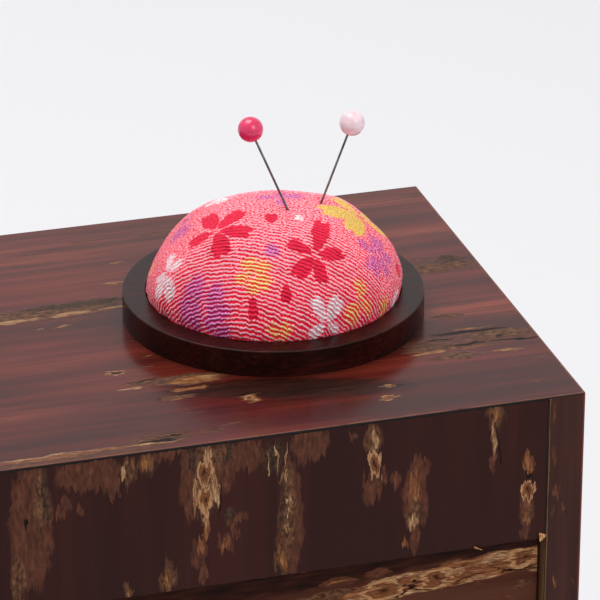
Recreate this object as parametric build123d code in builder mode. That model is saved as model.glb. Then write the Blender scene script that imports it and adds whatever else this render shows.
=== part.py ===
"""Sewing box clad in polished cherry bark.

A cabinet with three drawers, a well under a hinged lid, and a pincushion in a turned cup on the fixed top.
Millimetres, +Z up, the front faces -Y, and the origin is under the middle of the felt base.
"""

from build123d import *
import math
import os

os.makedirs("parts", exist_ok=True)

# Cabinet, outside of the bark
width = 250.0
depth = 125.0
height = 186.0  # from the table to the polished top

# Materials of the carcass
board = 8.2  # planed boards under the bark
bark = 0.45  # one glued sheet of cherry bark
bark_joint = 0.25  # open line between two sheets on the front
edge_ease = 0.25  # sanded outer edge of a sheet
dado = 2.5  # depth of the grooves that carry shelves and back

# Base
felt = 1.5
felt_inset = 3.0

# Front, from the top down
fascia_height = 36.3  # top face to the first drawer opening
shelf = 6.0
top_drawer_opening = 36.0
middle_drawer_opening = 40.0

# Well under the lid
well_floor = 5.0
seam = -15.0  # where the lid ends and the fixed top begins
seam_gap = 0.6
seam_rail_width = 12.0
seam_rail_height = 10.0
lid_gap = 0.3  # between the closed lid and the rim under it

# Hinges: the pin lies inside the back face, and bevels on both sides stop the lid
lid_opening = 100.0  # degrees
hinge_length = 22.0
hinge_spacing = 62.0
barrel_radius = 1.5
hinge_pin_radius = 0.75
leaf = 0.8
leaf_reach = 6.4  # from the pin's axis to the leaf's front edge
hinge_running = 0.05  # radial clearance of the pin, and end clearance of a knuckle
barrel_clearance = 0.25
bevel_spare = 1.0  # degrees left between the bevels when the lid is open
screw_head_radius = 1.5
screw_radius = 0.7
screw_length = 5.5
screw_spacing = 13.0
screw_from_axis = 4.1
screw_slot = 0.35
screw_clearance = 0.05

# Drawers
drawer_recess = 3.0  # the fronts lie behind the face of the cabinet
drawer_side_gap = 0.8
drawer_top_gap = 0.8
drawer_bottom_gap = 0.3
drawer_rear_gap = 3.0
front_board = 7.6
front_corner = 1.5
drawer_wall = 5.0
drawer_back = 5.0
drawer_base = 3.0
base_lift = 3.0  # lower edge of a side to its groove
groove = 2.0
side_rebate = 4.0  # how far the sides run into the front
back_inset = 3.0  # the sides run on behind the back
side_headroom = 3.0  # a side is lower than its opening
back_drop = 1.5  # the back is lower than the sides

# Turned knobs
knob_radius = 6.5
knob_neck = 3.2
knob_collar = 4.6
knob_collar_height = 1.2
knob_neck_height = 3.6
knob_flare = 5.2  # radius under the head
knob_brim_share = 0.35  # of the head's height, up to its widest circle
knob_brim_round = 0.4
knob_height = 12.0
tenon_radius = 2.5
tenon_clearance = 0.05
lid_knob_tenon = 5.5
lid_knob_from_front = 16.0

# Pincushion
cup_radius = 36.0
cup_height = 6.5
cup_bore = 30.4
cup_floor = 2.0
cup_edge = 0.3
cup_from_side = 56.3  # its middle, from the right face
card = 1.2  # stiff disc under the stuffing, as wide as the pad's seat
pad_radius = 30.2
pad_crown = 21.0  # above the rim of the cup
pad_shoulder = 15.5  # radius of its shoulder

# Dressmaker's pins: a lean in degrees from upright, a heading in degrees from +X
pin_length = 38.0  # middle of the head to the point
pin_radius = 0.27
pin_point = 2.5
pin_head_radius = 3.0
pin_clearance = 0.05
pin_head_depth = 22.2  # middle of the head, measured along the pin from the cloth
pins = {
    "magenta": {"entry": (2.8, -2.8), "lean": 23.0, "heading": 163.4},
    "pearl": {"entry": (12.3, 2.0), "lean": 19.5, "heading": -16.6},
}

# Places that follow from the sizes above
front = -depth / 2
front_wood = front + bark
fascia_back = front_wood + board
rear = depth / 2
back_wood = rear - bark
back_inner = back_wood - board
side_wood = width / 2 - bark
inner_half = side_wood - board
top_wood = height - bark
rim = top_wood - board  # underside of the fixed top, and the edge that the lid lies on
lid_under = rim + lid_gap
opening_top = height - fascia_height
base_top = felt + board
top_shelf = opening_top - top_drawer_opening - shelf
bottom_shelf = top_shelf - middle_drawer_opening - shelf
lid_edge = seam - seam_gap / 2
top_edge = seam + seam_gap / 2
lid_middle = (lid_edge - width / 2) / 2
hinge_axis_y = rear - barrel_radius
hinge_axis_z = rim + lid_gap / 2
hinge_places = [lid_middle - hinge_spacing / 2, lid_middle + hinge_spacing / 2]
cup_x = width / 2 - cup_from_side
boards_in_grooves = [(felt, board), (bottom_shelf, shelf), (top_shelf, shelf), (opening_top, well_floor)]
drawers = {
    "top_drawer": (top_shelf + shelf, opening_top),
    "middle_drawer": (bottom_shelf + shelf, top_shelf),
    "bottom_drawer": (base_top, bottom_shelf),
}


def middle(limits):
    """The middle of a pair of limits."""
    return (limits[0] + limits[1]) / 2


def span(limits):
    """The distance between a pair of limits."""
    return limits[1] - limits[0]


def save(part, name):
    """Labels a finished piece and writes it as its own file."""
    part.label = name
    export_step(part, f"parts/{name}.step")
    return part


def block(x, y, z):
    """A plain board or sheet between these limits."""
    with BuildPart() as plain:
        with BuildSketch(Plane.XY.offset(z[0])):
            with Locations((middle(x), middle(y))):
                Rectangle(span(x), span(y))
        extrude(amount=span(z))
    return plain.part


def profile_plane(place):
    """The plane for a turned profile: x runs out from the axis of the place, and y runs along that axis."""
    return Plane(origin=place.origin, x_dir=place.x_dir, z_dir=place.x_dir.cross(place.z_dir))


def turning_axis(place):
    """The axis that a profile on profile_plane is turned about."""
    return Axis(place.origin, place.z_dir)


def back_bevel(up):
    """The wedge behind the hinge pin that is planed off the lid (up) or off the rim under it (down)."""
    angle = math.radians(lid_opening / 2 + bevel_spare) * (1 if up else -1)
    reach = barrel_radius + bark
    joint = hinge_axis_z + (-lid_gap if up else lid_gap)
    with BuildPart(mode=Mode.PRIVATE) as wedge:
        with BuildSketch(Plane.YZ.offset(-width / 2)):
            with BuildLine():
                Polyline(
                    (hinge_axis_y, hinge_axis_z),
                    (hinge_axis_y + reach, hinge_axis_z + reach * math.tan(angle)),
                    (hinge_axis_y + reach, joint),
                    (hinge_axis_y, joint),
                    close=True,
                )
            make_face()
        extrude(amount=lid_edge + width / 2 + seam_gap / 2)
    return wedge.part


def hinge_recess(up):
    """The room for one hinge: a shallow bed for the leaf and a round channel for the barrel."""
    bed = (lid_under, lid_under + leaf) if up else (rim - leaf, rim)
    with BuildPart(mode=Mode.PRIVATE) as room:
        for x in hinge_places:
            with BuildSketch(Plane.XY.offset(bed[0])):
                with Locations((x, hinge_axis_y - leaf_reach / 2)):
                    Rectangle(hinge_length, leaf_reach)
            extrude(amount=leaf)
            with BuildSketch(Plane.YZ.offset(x - hinge_length / 2)):
                with Locations((hinge_axis_y, hinge_axis_z)):
                    Circle(barrel_radius + barrel_clearance)
            extrude(amount=hinge_length)
            pilot = bed[1] if up else bed[0]
            with BuildSketch(Plane.XY.offset(pilot)):
                with Locations((x, hinge_axis_y - screw_from_axis)):
                    with GridLocations(screw_spacing, 1, 2, 1):
                        Circle(screw_radius + screw_clearance)
            extrude(amount=screw_length if up else -screw_length)
    return room.part


# Felt under the base
felt_x = (felt_inset - width / 2, width / 2 - felt_inset)
felt_y = (front + felt_inset, rear - felt_inset)
save(block(felt_x, felt_y, (0, felt)), "felt_base")

# Side boards, grooved for the boards that they carry and rebated for the back
for side, top_end in (("left", rim), ("right", top_wood)):
    outward = -1 if side == "left" else 1
    with BuildPart() as side_board:
        with BuildSketch(Plane.YZ.offset(outward * inner_half)):
            with Locations((0, middle((felt, top_end)))):
                Rectangle(span((front_wood, back_wood)), span((felt, top_end)))
        extrude(amount=outward * board)
        with BuildSketch(Plane.YZ.offset(outward * inner_half)):
            for low, thickness in boards_in_grooves[:-1]:
                with Locations((middle((front_wood, back_inner)), low + thickness / 2)):
                    Rectangle(span((front_wood, back_inner)), thickness)
            with Locations((middle((fascia_back - dado, back_inner)), opening_top + well_floor / 2)):
                Rectangle(span((fascia_back - dado, back_inner)), well_floor)
            with Locations((middle((back_inner, back_wood)), middle((felt, rim)))):
                Rectangle(board, span((felt, rim)))
        extrude(amount=outward * dado, mode=Mode.SUBTRACT)
        if side == "left":
            add(back_bevel(up=False), mode=Mode.SUBTRACT)
    save(side_board.part, f"{side}_side_board")

# Boards between the sides
grooved = (-inner_half - dado, inner_half + dado)
save(block(grooved, (front_wood, back_inner), (felt, base_top)), "bottom_board")
save(block(grooved, (front_wood, back_inner), (bottom_shelf, bottom_shelf + shelf)), "lower_shelf")
save(block(grooved, (front_wood, back_inner), (top_shelf, top_shelf + shelf)), "upper_shelf")
save(block(grooved, (fascia_back - dado, back_inner), (opening_top, opening_top + well_floor)), "well_floor")
save(block((top_edge, inner_half), (front_wood, back_wood), (rim, top_wood)), "fixed_top_board")
rail_x = (seam - seam_rail_width / 2, seam + seam_rail_width / 2)
save(block(rail_x, (fascia_back, back_inner), (rim - seam_rail_height, rim)), "seam_rail")

with BuildPart() as fascia_board:
    with BuildSketch(Plane.YZ.offset(-inner_half)):
        with BuildLine():
            Polyline(
                (front_wood, opening_top),
                (front_wood, rim),
                (fascia_back, rim),
                (fascia_back, opening_top + well_floor),
                (fascia_back - dado, opening_top + well_floor),
                (fascia_back - dado, opening_top),
                close=True,
            )
        make_face()
    extrude(amount=2 * inner_half)
save(fascia_board.part, "fascia_board")

with BuildPart() as back_board:
    with BuildSketch(Plane.XZ.offset(-back_inner)):
        with Locations((0, middle((felt, rim)))):
            Rectangle(span(grooved), span((felt, rim)))
    extrude(amount=-board)
    add(back_bevel(up=False), mode=Mode.SUBTRACT)
    add(hinge_recess(up=False), mode=Mode.SUBTRACT)
save(back_board.part, "back_board")


# Bark sheets. The top sheet runs over the front sheets, and the side sheets cover its ends.
def stepped_sheet(half, low):
    """Corners of a front or back sheet, which is lower under the lid than at the fixed top."""
    return [(-half, low), (half, low), (half, top_wood), (top_edge, top_wood), (top_edge, rim), (-half, rim)]


with BuildPart() as top_bark:
    with BuildSketch(Plane.XY.offset(top_wood)):
        with Locations((middle((top_edge, side_wood)), 0)):
            Rectangle(span((top_edge, side_wood)), depth)
    extrude(amount=bark)
    fillet(top_bark.faces().sort_by(Axis.Z)[-1].edges().filter_by(Axis.X), edge_ease)
save(top_bark.part, "top_bark")

for side, top_end in (("left", rim), ("right", height)):
    outward = -1 if side == "left" else 1
    with BuildPart() as side_bark:
        with BuildSketch(Plane.YZ.offset(outward * side_wood)):
            with Locations((0, middle((felt, top_end)))):
                Rectangle(depth, span((felt, top_end)))
        extrude(amount=outward * bark)
        outer_edges = side_bark.faces().sort_by(Axis.X)[0 if side == "left" else -1].edges()
        fillet(outer_edges.filter_by(Axis.Z), edge_ease)
        if side == "right":
            fillet(side_bark.edges().filter_by(Axis.Y).group_by(Axis.Z)[-1].sort_by(Axis.X)[-1], edge_ease)
        else:
            add(back_bevel(up=False), mode=Mode.SUBTRACT)
    save(side_bark.part, f"{side}_bark")

with BuildPart() as fascia_bark:
    with BuildSketch(Plane.XZ.offset(-front)):
        with BuildLine():
            Polyline(*stepped_sheet(inner_half - bark_joint, opening_top), close=True)
        make_face()
    extrude(amount=-bark)
save(fascia_bark.part, "fascia_bark")

with BuildPart() as back_bark:
    with BuildSketch(Plane.XZ.offset(-back_wood)):
        with BuildLine():
            Polyline(*stepped_sheet(side_wood, felt), close=True)
        make_face()
    extrude(amount=-bark)
    add(back_bevel(up=False), mode=Mode.SUBTRACT)
    add(hinge_recess(up=False), mode=Mode.SUBTRACT)
save(back_bark.part, "back_bark")

for side, top_end in (("left", rim), ("right", top_wood)):
    stile = (inner_half, side_wood) if side == "right" else (-side_wood, -inner_half)
    save(block(stile, (front, front_wood), (felt, top_end)), f"{side}_stile_bark")

with BuildPart() as rail_bark:
    with BuildSketch(Plane.XZ.offset(-front)):
        for low, thickness in boards_in_grooves[:-1]:
            with Locations((0, low + thickness / 2)):
                Rectangle(2 * (inner_half - bark_joint), thickness)
    extrude(amount=-bark)
save(rail_bark.part, "rail_bark")

# Lid
with BuildPart() as lid_board:
    with BuildSketch(Plane.XY.offset(lid_under)):
        with Locations((middle((-side_wood, lid_edge)), 0)):
            Rectangle(span((-side_wood, lid_edge)), span((front_wood, back_wood)))
    extrude(amount=span((lid_under, top_wood)))
    add(back_bevel(up=True), mode=Mode.SUBTRACT)
    add(hinge_recess(up=True), mode=Mode.SUBTRACT)
    with BuildSketch(Plane.XY.offset(height)):
        with Locations((lid_middle, front + lid_knob_from_front)):
            Circle(tenon_radius + tenon_clearance)
    extrude(amount=-lid_knob_tenon, mode=Mode.SUBTRACT)
save(lid_board.part, "lid_board")

with BuildPart() as lid_bark:
    with BuildSketch(Plane.XY.offset(lid_under)):
        with Locations((middle((-width / 2, lid_edge)), 0)):
            Rectangle(span((-width / 2, lid_edge)), depth)
    extrude(amount=span((lid_under, height)))
    with BuildSketch(Plane.XY.offset(lid_under)):
        with Locations((middle((-side_wood, lid_edge)), 0)):
            Rectangle(span((-side_wood, lid_edge)), span((front_wood, back_wood)))
    extrude(amount=span((lid_under, top_wood)), mode=Mode.SUBTRACT)
    rim_edges = lid_bark.faces().sort_by(Axis.Z)[-1].edges()
    fillet(rim_edges.filter_by(Axis.X) + [rim_edges.filter_by(Axis.Y).sort_by(Axis.X)[0]], edge_ease)
    add(back_bevel(up=True), mode=Mode.SUBTRACT)
    add(hinge_recess(up=True), mode=Mode.SUBTRACT)
    with BuildSketch(Plane.XY.offset(height)):
        with Locations((lid_middle, front + lid_knob_from_front)):
            Circle(tenon_radius + tenon_clearance)
    extrude(amount=-bark, mode=Mode.SUBTRACT)
save(lid_bark.part, "lid_bark")


# Hinges: one leaf in the back board, one in the lid, a pin through both, and countersunk screws
def hinge_leaves(up):
    """The leaves of one side: plates with rolled knuckles, two on a fixed leaf and one on a leaf of the lid."""
    knuckle = hinge_length / 3
    plate_z = lid_under if up else rim - leaf
    offsets = [0] if up else [-knuckle, knuckle]
    with BuildPart() as leaves:
        for x in hinge_places:
            with BuildSketch(Plane.XY.offset(plate_z)):
                with Locations((x, hinge_axis_y - (leaf_reach + barrel_radius + barrel_clearance) / 2)):
                    Rectangle(hinge_length, leaf_reach - barrel_radius - barrel_clearance)
                with Locations(*[(x + offset, hinge_axis_y - barrel_radius) for offset in offsets]):
                    Rectangle(knuckle - 2 * hinge_running, 2 * barrel_radius)
            extrude(amount=leaf)
            for offset in offsets:
                start = x + offset - knuckle / 2 + hinge_running
                with BuildSketch(Plane.YZ.offset(start)):
                    with Locations((hinge_axis_y, hinge_axis_z)):
                        Circle(barrel_radius)
                extrude(amount=knuckle - 2 * hinge_running)
        with BuildSketch(Plane.YZ.offset(-width / 2)):
            with Locations((hinge_axis_y, hinge_axis_z)):
                Circle(hinge_pin_radius + hinge_running)
        extrude(amount=width, mode=Mode.SUBTRACT)
        for plane in screw_planes(up):
            with BuildSketch(profile_plane(plane)):
                with BuildLine():
                    Polyline(*screw_head(screw_clearance), close=True)
                make_face()
            revolve(axis=turning_axis(plane), mode=Mode.SUBTRACT)
    return leaves.part


def screw_planes(up):
    """A plane at the face of each screw head of one side, with its normal into the wood."""
    face = lid_under if up else rim
    into = (0, 0, 1 if up else -1)
    places = [x + end * screw_spacing / 2 for x in hinge_places for end in (-1, 1)]
    return [Plane((x, hinge_axis_y - screw_from_axis, face), z_dir=into) for x in places]


def screw_head(spare):
    """Half the outline of a countersunk head, from its face inwards."""
    return [(0, 0), (screw_head_radius + spare, 0), (screw_radius + spare, leaf), (0, leaf)]


def hinge_screws(up):
    """The four screws of one side: a slotted flat head in the leaf and a plain shank in the wood."""
    with BuildPart() as screws:
        for plane in screw_planes(up):
            with BuildSketch(profile_plane(plane)):
                with BuildLine():
                    Polyline(*screw_head(0)[:-1], (screw_radius, screw_length), (0, screw_length), close=True)
                make_face()
            revolve(axis=turning_axis(plane))
            with BuildSketch(plane):
                Rectangle(2 * screw_head_radius, screw_slot)
            extrude(amount=screw_slot, mode=Mode.SUBTRACT)
    return screws.part


save(hinge_leaves(up=False), "hinge_leaves_fixed")
save(hinge_leaves(up=True), "hinge_leaves_lid")
save(hinge_screws(up=False), "hinge_screws_fixed")
save(hinge_screws(up=True), "hinge_screws_lid")

with BuildPart() as hinge_pins:
    for x in hinge_places:
        with BuildSketch(Plane.YZ.offset(x - hinge_length / 2)):
            with Locations((hinge_axis_y, hinge_axis_z)):
                Circle(hinge_pin_radius)
        extrude(amount=hinge_length)
save(hinge_pins.part, "hinge_pins")


def turned_knob(place, tenon):
    """A knob that stands on the place: a tenon below it, and a collar, waisted neck and domed head above."""
    head = knob_collar_height + knob_neck_height
    brim = head + (knob_height - head) * knob_brim_share
    with BuildPart() as knob:
        with BuildSketch(profile_plane(place)) as half_profile:
            with BuildLine():
                Polyline(
                    (0, -tenon),
                    (tenon_radius, -tenon),
                    (tenon_radius, 0),
                    (knob_collar, 0),
                    (knob_collar, knob_collar_height),
                )
                ThreePointArc(
                    (knob_collar, knob_collar_height),
                    (knob_neck, knob_collar_height + knob_neck_height / 2),
                    (knob_flare, head),
                )
                Line((knob_flare, head), (knob_radius, brim))
                TangentArc((0, knob_height), (knob_radius, brim), tangent=(1, 0))
                Line((0, knob_height), (0, -tenon))
            make_face()
            fillet(half_profile.vertices().sort_by(Axis.X)[-1], knob_brim_round)
        revolve(axis=turning_axis(place))
    return knob.part


lid_knob_place = Plane((lid_middle, front + lid_knob_from_front, height))
save(turned_knob(lid_knob_place, lid_knob_tenon - tenon_clearance), "lid_knob")


# Drawers
def make_drawer(name, low, high):
    """One drawer for the opening between low and high: front, its bark, two sides, back, base and knob."""
    half = inner_half - drawer_side_gap
    face = front + drawer_recess
    face_wood = face + bark
    front_inner = face_wood + front_board
    lower, upper = low + drawer_bottom_gap, high - drawer_top_gap
    side_top = high - side_headroom
    back_end = back_inner - drawer_rear_gap
    back_face = back_end - back_inset
    base_z = lower + base_lift
    base_half = half - drawer_wall + groove
    knob_z = middle((lower, upper))

    with BuildPart() as front_piece:
        with BuildSketch(Plane.XZ.offset(-face_wood)):
            with Locations((0, middle((lower, upper)))):
                RectangleRounded(2 * half, span((lower, upper)), front_corner)
        extrude(amount=-front_board)
        with BuildSketch(Plane.XZ.offset(-front_inner)):
            with Locations((0, middle((lower, side_top)))):
                with GridLocations(2 * half - drawer_wall, 1, 2, 1):
                    Rectangle(drawer_wall, span((lower, side_top)))
        extrude(amount=side_rebate, mode=Mode.SUBTRACT)
        with BuildSketch(Plane.XZ.offset(-front_inner)):
            with Locations((0, base_z + drawer_base / 2)):
                Rectangle(2 * base_half, drawer_base)
        extrude(amount=groove, mode=Mode.SUBTRACT)
        with BuildSketch(Plane.XZ.offset(-front_inner)):
            with Locations((0, knob_z)):
                Circle(tenon_radius + tenon_clearance)
        extrude(amount=front_board, mode=Mode.SUBTRACT)
    save(front_piece.part, f"{name}_front")

    with BuildPart() as front_sheet:
        with BuildSketch(Plane.XZ.offset(-face)):
            with Locations((0, middle((lower, upper)))):
                RectangleRounded(2 * half, span((lower, upper)), front_corner)
            with Locations((0, knob_z)):
                Circle(tenon_radius + tenon_clearance, mode=Mode.SUBTRACT)
        extrude(amount=-bark)
        fillet(front_sheet.faces().sort_by(Axis.Y)[0].outer_wire().edges(), edge_ease)
    save(front_sheet.part, f"{name}_bark")

    for side, outward in (("left", -1), ("right", 1)):
        with BuildPart() as side_piece:
            with BuildSketch(Plane.YZ.offset(outward * (half - drawer_wall))):
                with Locations((middle((front_inner - side_rebate, back_end)), middle((lower, side_top)))):
                    Rectangle(span((front_inner - side_rebate, back_end)), span((lower, side_top)))
            extrude(amount=outward * drawer_wall)
            with BuildSketch(Plane.YZ.offset(outward * (half - drawer_wall))):
                with Locations((middle((front_inner - side_rebate, back_face)), base_z + drawer_base / 2)):
                    Rectangle(span((front_inner - side_rebate, back_face)), drawer_base)
                with Locations((back_face - drawer_back / 2, middle((base_z + drawer_base, side_top)))):
                    Rectangle(drawer_back, span((base_z + drawer_base, side_top)))
            extrude(amount=outward * groove, mode=Mode.SUBTRACT)
        save(side_piece.part, f"{name}_{side}_side")

    back_z = (base_z + drawer_base, side_top - back_drop)
    save(block((-base_half, base_half), (back_face - drawer_back, back_face), back_z), f"{name}_back")
    base_y = (front_inner - groove, back_face)
    save(block((-base_half, base_half), base_y, (base_z, base_z + drawer_base)), f"{name}_base")
    knob_place = Plane((0, face, knob_z), x_dir=(1, 0, 0), z_dir=(0, -1, 0))
    save(turned_knob(knob_place, bark + front_board), f"{name}_knob")


for drawer_name, (low_end, high_end) in drawers.items():
    make_drawer(drawer_name, low_end, high_end)

# Pincushion: a turned cup, a stiff card, the stuffed pad, and pins that pull out of it
cup_place = Plane((cup_x, 0, height))
seat = cup_floor + card
pad_roll = cup_height - seat  # the cloth is drawn in under the rim
pad_seat = pad_radius - pad_roll
shoulder_x = pad_radius - pad_shoulder
rise = pad_crown - pad_shoulder
crown_drop = (shoulder_x**2 - rise**2) / (2 * rise)  # how deep the crown's centre lies, so that the arcs meet
crown_radius = pad_crown + crown_drop
spring = math.degrees(math.atan2(crown_drop, shoulder_x))

with BuildPart() as cup:
    with BuildSketch(profile_plane(cup_place)):
        with BuildLine():
            Polyline(
                (0, 0),
                (cup_radius, 0),
                (cup_radius, cup_height),
                (cup_bore, cup_height),
                (cup_bore, cup_floor),
                (0, cup_floor),
                close=True,
            )
        make_face()
    revolve(axis=turning_axis(cup_place))
    fillet(cup.edges().filter_by(GeomType.CIRCLE).group_by(Axis.Z)[-1], cup_edge)
save(cup.part, "pincushion_cup")

with BuildPart() as card_disc:
    with BuildSketch(cup_place.offset(cup_floor)):
        Circle(pad_seat)
    extrude(amount=card)
save(card_disc.part, "pincushion_card")


def pin_place(entry, lean, heading):
    """The plane at a pin's point, with its normal up the pin. The entry counts from the middle of the cup."""
    lift = math.sqrt(crown_radius**2 - entry[0] ** 2 - entry[1] ** 2) - crown_drop
    cloth = Vector(cup_x + entry[0], entry[1], height + cup_height + lift)
    tilt, turn = math.radians(lean), math.radians(heading)
    along = Vector(math.sin(tilt) * math.cos(turn), math.sin(tilt) * math.sin(turn), math.cos(tilt))
    return Plane(cloth - along * (pin_length - pin_head_depth), z_dir=along)


with BuildPart() as pad:
    with BuildSketch(profile_plane(cup_place)):
        with BuildLine():
            Line((0, seat), (pad_seat, seat))
            CenterArc((pad_seat, cup_height), pad_roll, start_angle=-90, arc_size=90)
            CenterArc((shoulder_x, cup_height), pad_shoulder, start_angle=0, arc_size=spring)
            CenterArc((0, cup_height - crown_drop), crown_radius, start_angle=spring, arc_size=90 - spring)
            Line((0, cup_height + pad_crown), (0, seat))
        make_face()
    revolve(axis=turning_axis(cup_place))
    for shape in pins.values():
        with BuildSketch(pin_place(**shape).offset(-pin_clearance)):
            Circle(pin_radius + pin_clearance)
        extrude(amount=pin_length, mode=Mode.SUBTRACT)
save(pad.part, "pincushion_pad")

for colour, shape in pins.items():
    place = pin_place(**shape)
    with BuildPart() as shaft:
        with BuildSketch(profile_plane(place)):
            with BuildLine():
                Polyline(
                    (0, 0),
                    (pin_radius, pin_point),
                    (pin_radius, pin_length),
                    (0, pin_length),
                    close=True,
                )
            make_face()
        revolve(axis=turning_axis(place))
    save(shaft.part, f"{colour}_pin_shaft")
    with BuildPart() as head:
        with BuildSketch(profile_plane(place)):
            with BuildLine():
                CenterArc((0, pin_length), pin_head_radius, start_angle=-90, arc_size=180)
                Line((0, pin_length + pin_head_radius), (0, pin_length - pin_head_radius))
            make_face()
        revolve(axis=turning_axis(place))
        with BuildSketch(place.offset(pin_length - pin_head_radius)):
            Circle(pin_radius)
        extrude(amount=pin_head_radius, mode=Mode.SUBTRACT)
    save(head.part, f"{colour}_pin_head")
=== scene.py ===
"""A bark-veneered sewing box with a crepe pincushion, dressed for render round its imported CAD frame.

Every class is one sub-assembly of the box, every finish one real material, and main() puts them
together in the order in which a workshop would.
"""

import logging
import math
from dataclasses import dataclass
from enum import Enum
from typing import Any

import bpy
import numpy as np
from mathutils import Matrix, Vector, noise


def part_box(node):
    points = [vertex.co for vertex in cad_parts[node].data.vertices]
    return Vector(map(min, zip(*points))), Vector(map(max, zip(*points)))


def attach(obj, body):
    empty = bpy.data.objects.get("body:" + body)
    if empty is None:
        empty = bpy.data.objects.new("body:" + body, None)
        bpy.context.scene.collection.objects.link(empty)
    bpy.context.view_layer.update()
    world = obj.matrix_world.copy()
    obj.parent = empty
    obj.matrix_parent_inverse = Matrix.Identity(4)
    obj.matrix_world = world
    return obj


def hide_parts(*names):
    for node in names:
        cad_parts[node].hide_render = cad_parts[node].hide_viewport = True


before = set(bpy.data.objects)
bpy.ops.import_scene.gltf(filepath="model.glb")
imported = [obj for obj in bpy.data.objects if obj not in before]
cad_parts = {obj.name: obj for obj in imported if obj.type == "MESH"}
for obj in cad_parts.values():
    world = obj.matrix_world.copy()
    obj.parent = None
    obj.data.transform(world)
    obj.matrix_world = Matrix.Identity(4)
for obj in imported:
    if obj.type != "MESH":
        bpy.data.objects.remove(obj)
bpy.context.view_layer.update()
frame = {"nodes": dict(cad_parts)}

MM = 0.001
log = logging.getLogger("sewing_box")

Tree = bpy.types.NodeTree
Node = bpy.types.Node
Socket = bpy.types.NodeSocket
Stops = tuple[tuple[float, str], ...]


def linear(colour: str) -> tuple[float, float, float, float]:
    """Turn an sRGB hex colour into the linear RGBA that shaders take.

    Args:
        colour: The colour as "#RRGGBB".

    Returns:
        Linear red, green and blue, and an alpha of 1.
    """
    channels = [int(colour[start:start + 2], 16) / 255 for start in (1, 3, 5)]
    red, green, blue = (c / 12.92 if c <= 0.04045 else ((c + 0.055) / 1.055) ** 2.4 for c in channels)
    return red, green, blue, 1.0


def add(tree: Tree, kind: str, feeds: dict[str | int, Any] | None = None, **settings: Any) -> Node:
    """Add one node to a tree with its settings, and join or set its inputs.

    Args:
        tree: The node tree to add to.
        kind: The node's type, without "ShaderNode" in front.
        feeds: For each input, by name or number, a node, a socket, a hex colour or a plain value.
        **settings: The node's own settings; stops gives a colour ramp's places and hex colours.

    Returns:
        The new node.
    """
    node = tree.nodes.new(kind if kind.startswith("Node") else f"ShaderNode{kind}")
    for name, value in settings.items():
        if name == "stops":
            ramp = node.color_ramp.elements
            while len(ramp) < len(value):
                ramp.new(0.5)
            for stop, (place, colour) in zip(ramp, value):
                stop.position = place
                stop.color = linear(colour)
        else:
            setattr(node, name, value)
    for name, feed in (feeds or {}).items():
        if isinstance(name, int):
            socket = node.inputs[name]
        else:
            socket = next(s for s in node.inputs if s.enabled and s.name == name)
        if isinstance(feed, Node):
            feed = next(s for s in feed.outputs if s.enabled)
        if isinstance(feed, Socket):
            tree.links.new(feed, socket)
        else:
            socket.default_value = linear(feed) if isinstance(feed, str) else feed
    return node


SOFT = {"interpolation_type": "SMOOTHSTEP"}  # settings of a Map Range that steps softly


def project(tree: Tree, point: Node, middle: tuple[float, float], turn: float,
            half: tuple[float, float]) -> tuple[Node, Node]:
    """Add a point's place in an oval's own frame.

    Args:
        tree: The node tree to add to.
        point: The node that gives the point in mm.
        middle: The oval's middle in mm.
        turn: How far it is turned, in degrees.
        half: Half its length and half its width, in mm.

    Returns:
        The nodes that give the place along and across the oval, with 1 at its outline. Vector math keeps
        every step in one socket type: a conversion would hold each mark's value on the shader's stack.
    """
    cosine, sine = math.cos(math.radians(turn)), math.sin(math.radians(turn))
    away = add(tree, "VectorMath", {0: point, 1: (*middle, 0.0)}, operation="SUBTRACT")
    along = (cosine / half[0], sine / half[0], 0.0)
    across = (-sine / half[1], cosine / half[1], 0.0)
    return (
        add(tree, "VectorMath", {0: away, 1: along}, operation="DOT_PRODUCT"),
        add(tree, "VectorMath", {0: away, 1: across}, operation="DOT_PRODUCT"),
    )


def start(name: str) -> tuple[bpy.types.Material, Tree]:
    """Make a material with an empty node tree.

    Args:
        name: What the finish is called.

    Returns:
        The material and its node tree.
    """
    material = bpy.data.materials.new(name)
    material.use_nodes = True
    material.node_tree.nodes.clear()
    return material, material.node_tree


def shade(material: bpy.types.Material, feeds: dict[str, Any]) -> bpy.types.Material:
    """Close a material with its Principled shader.

    Args:
        material: The material, with its pattern in its tree.
        feeds: What feeds the shader's inputs, by name.

    Returns:
        The same material.
    """
    shader = add(material.node_tree, "BsdfPrincipled", feeds)
    add(material.node_tree, "OutputMaterial", {"Surface": shader})
    return material


class Lay(Enum):
    """How a sheet or board lies: the box's axes along its streaks, across them and out of its face."""

    TOP = ("X", "Y", "Z")
    FRONT_UPRIGHT = ("Z", "X", "Y")
    FRONT_LEVEL = ("X", "Z", "Y")
    SIDE_UPRIGHT = ("Z", "Y", "X")
    SIDE_LEVEL = ("Y", "Z", "X")
    DEPTHWAYS = ("Y", "X", "Z")

    def point(self, tree: Tree) -> Node:
        """Add the place on the object in millimetres, as along, across and out of the face.

        Args:
            tree: The node tree to add to.

        Returns:
            The node that gives the place.
        """
        here = add(tree, "TexCoord")
        parts = add(tree, "SeparateXYZ", {"Vector": here.outputs["Object"]})
        turned = add(tree, "CombineXYZ", {to: parts.outputs[axis] for to, axis in zip("XYZ", self.value)})
        return add(tree, "VectorMath", {0: turned, "Scale": 1 / MM}, operation="SCALE")

    def facing(self, tree: Tree) -> Node:
        """Add how squarely the surface faces out of the sheet, from 0 on a cut edge to 1 on the face.

        Args:
            tree: The node tree to add to.

        Returns:
            The node that gives it.
        """
        here = add(tree, "TexCoord")
        parts = add(tree, "SeparateXYZ", {"Vector": here.outputs["Normal"]})
        return add(tree, "Math", {0: parts.outputs[self.value[2]]}, operation="ABSOLUTE")


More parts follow.
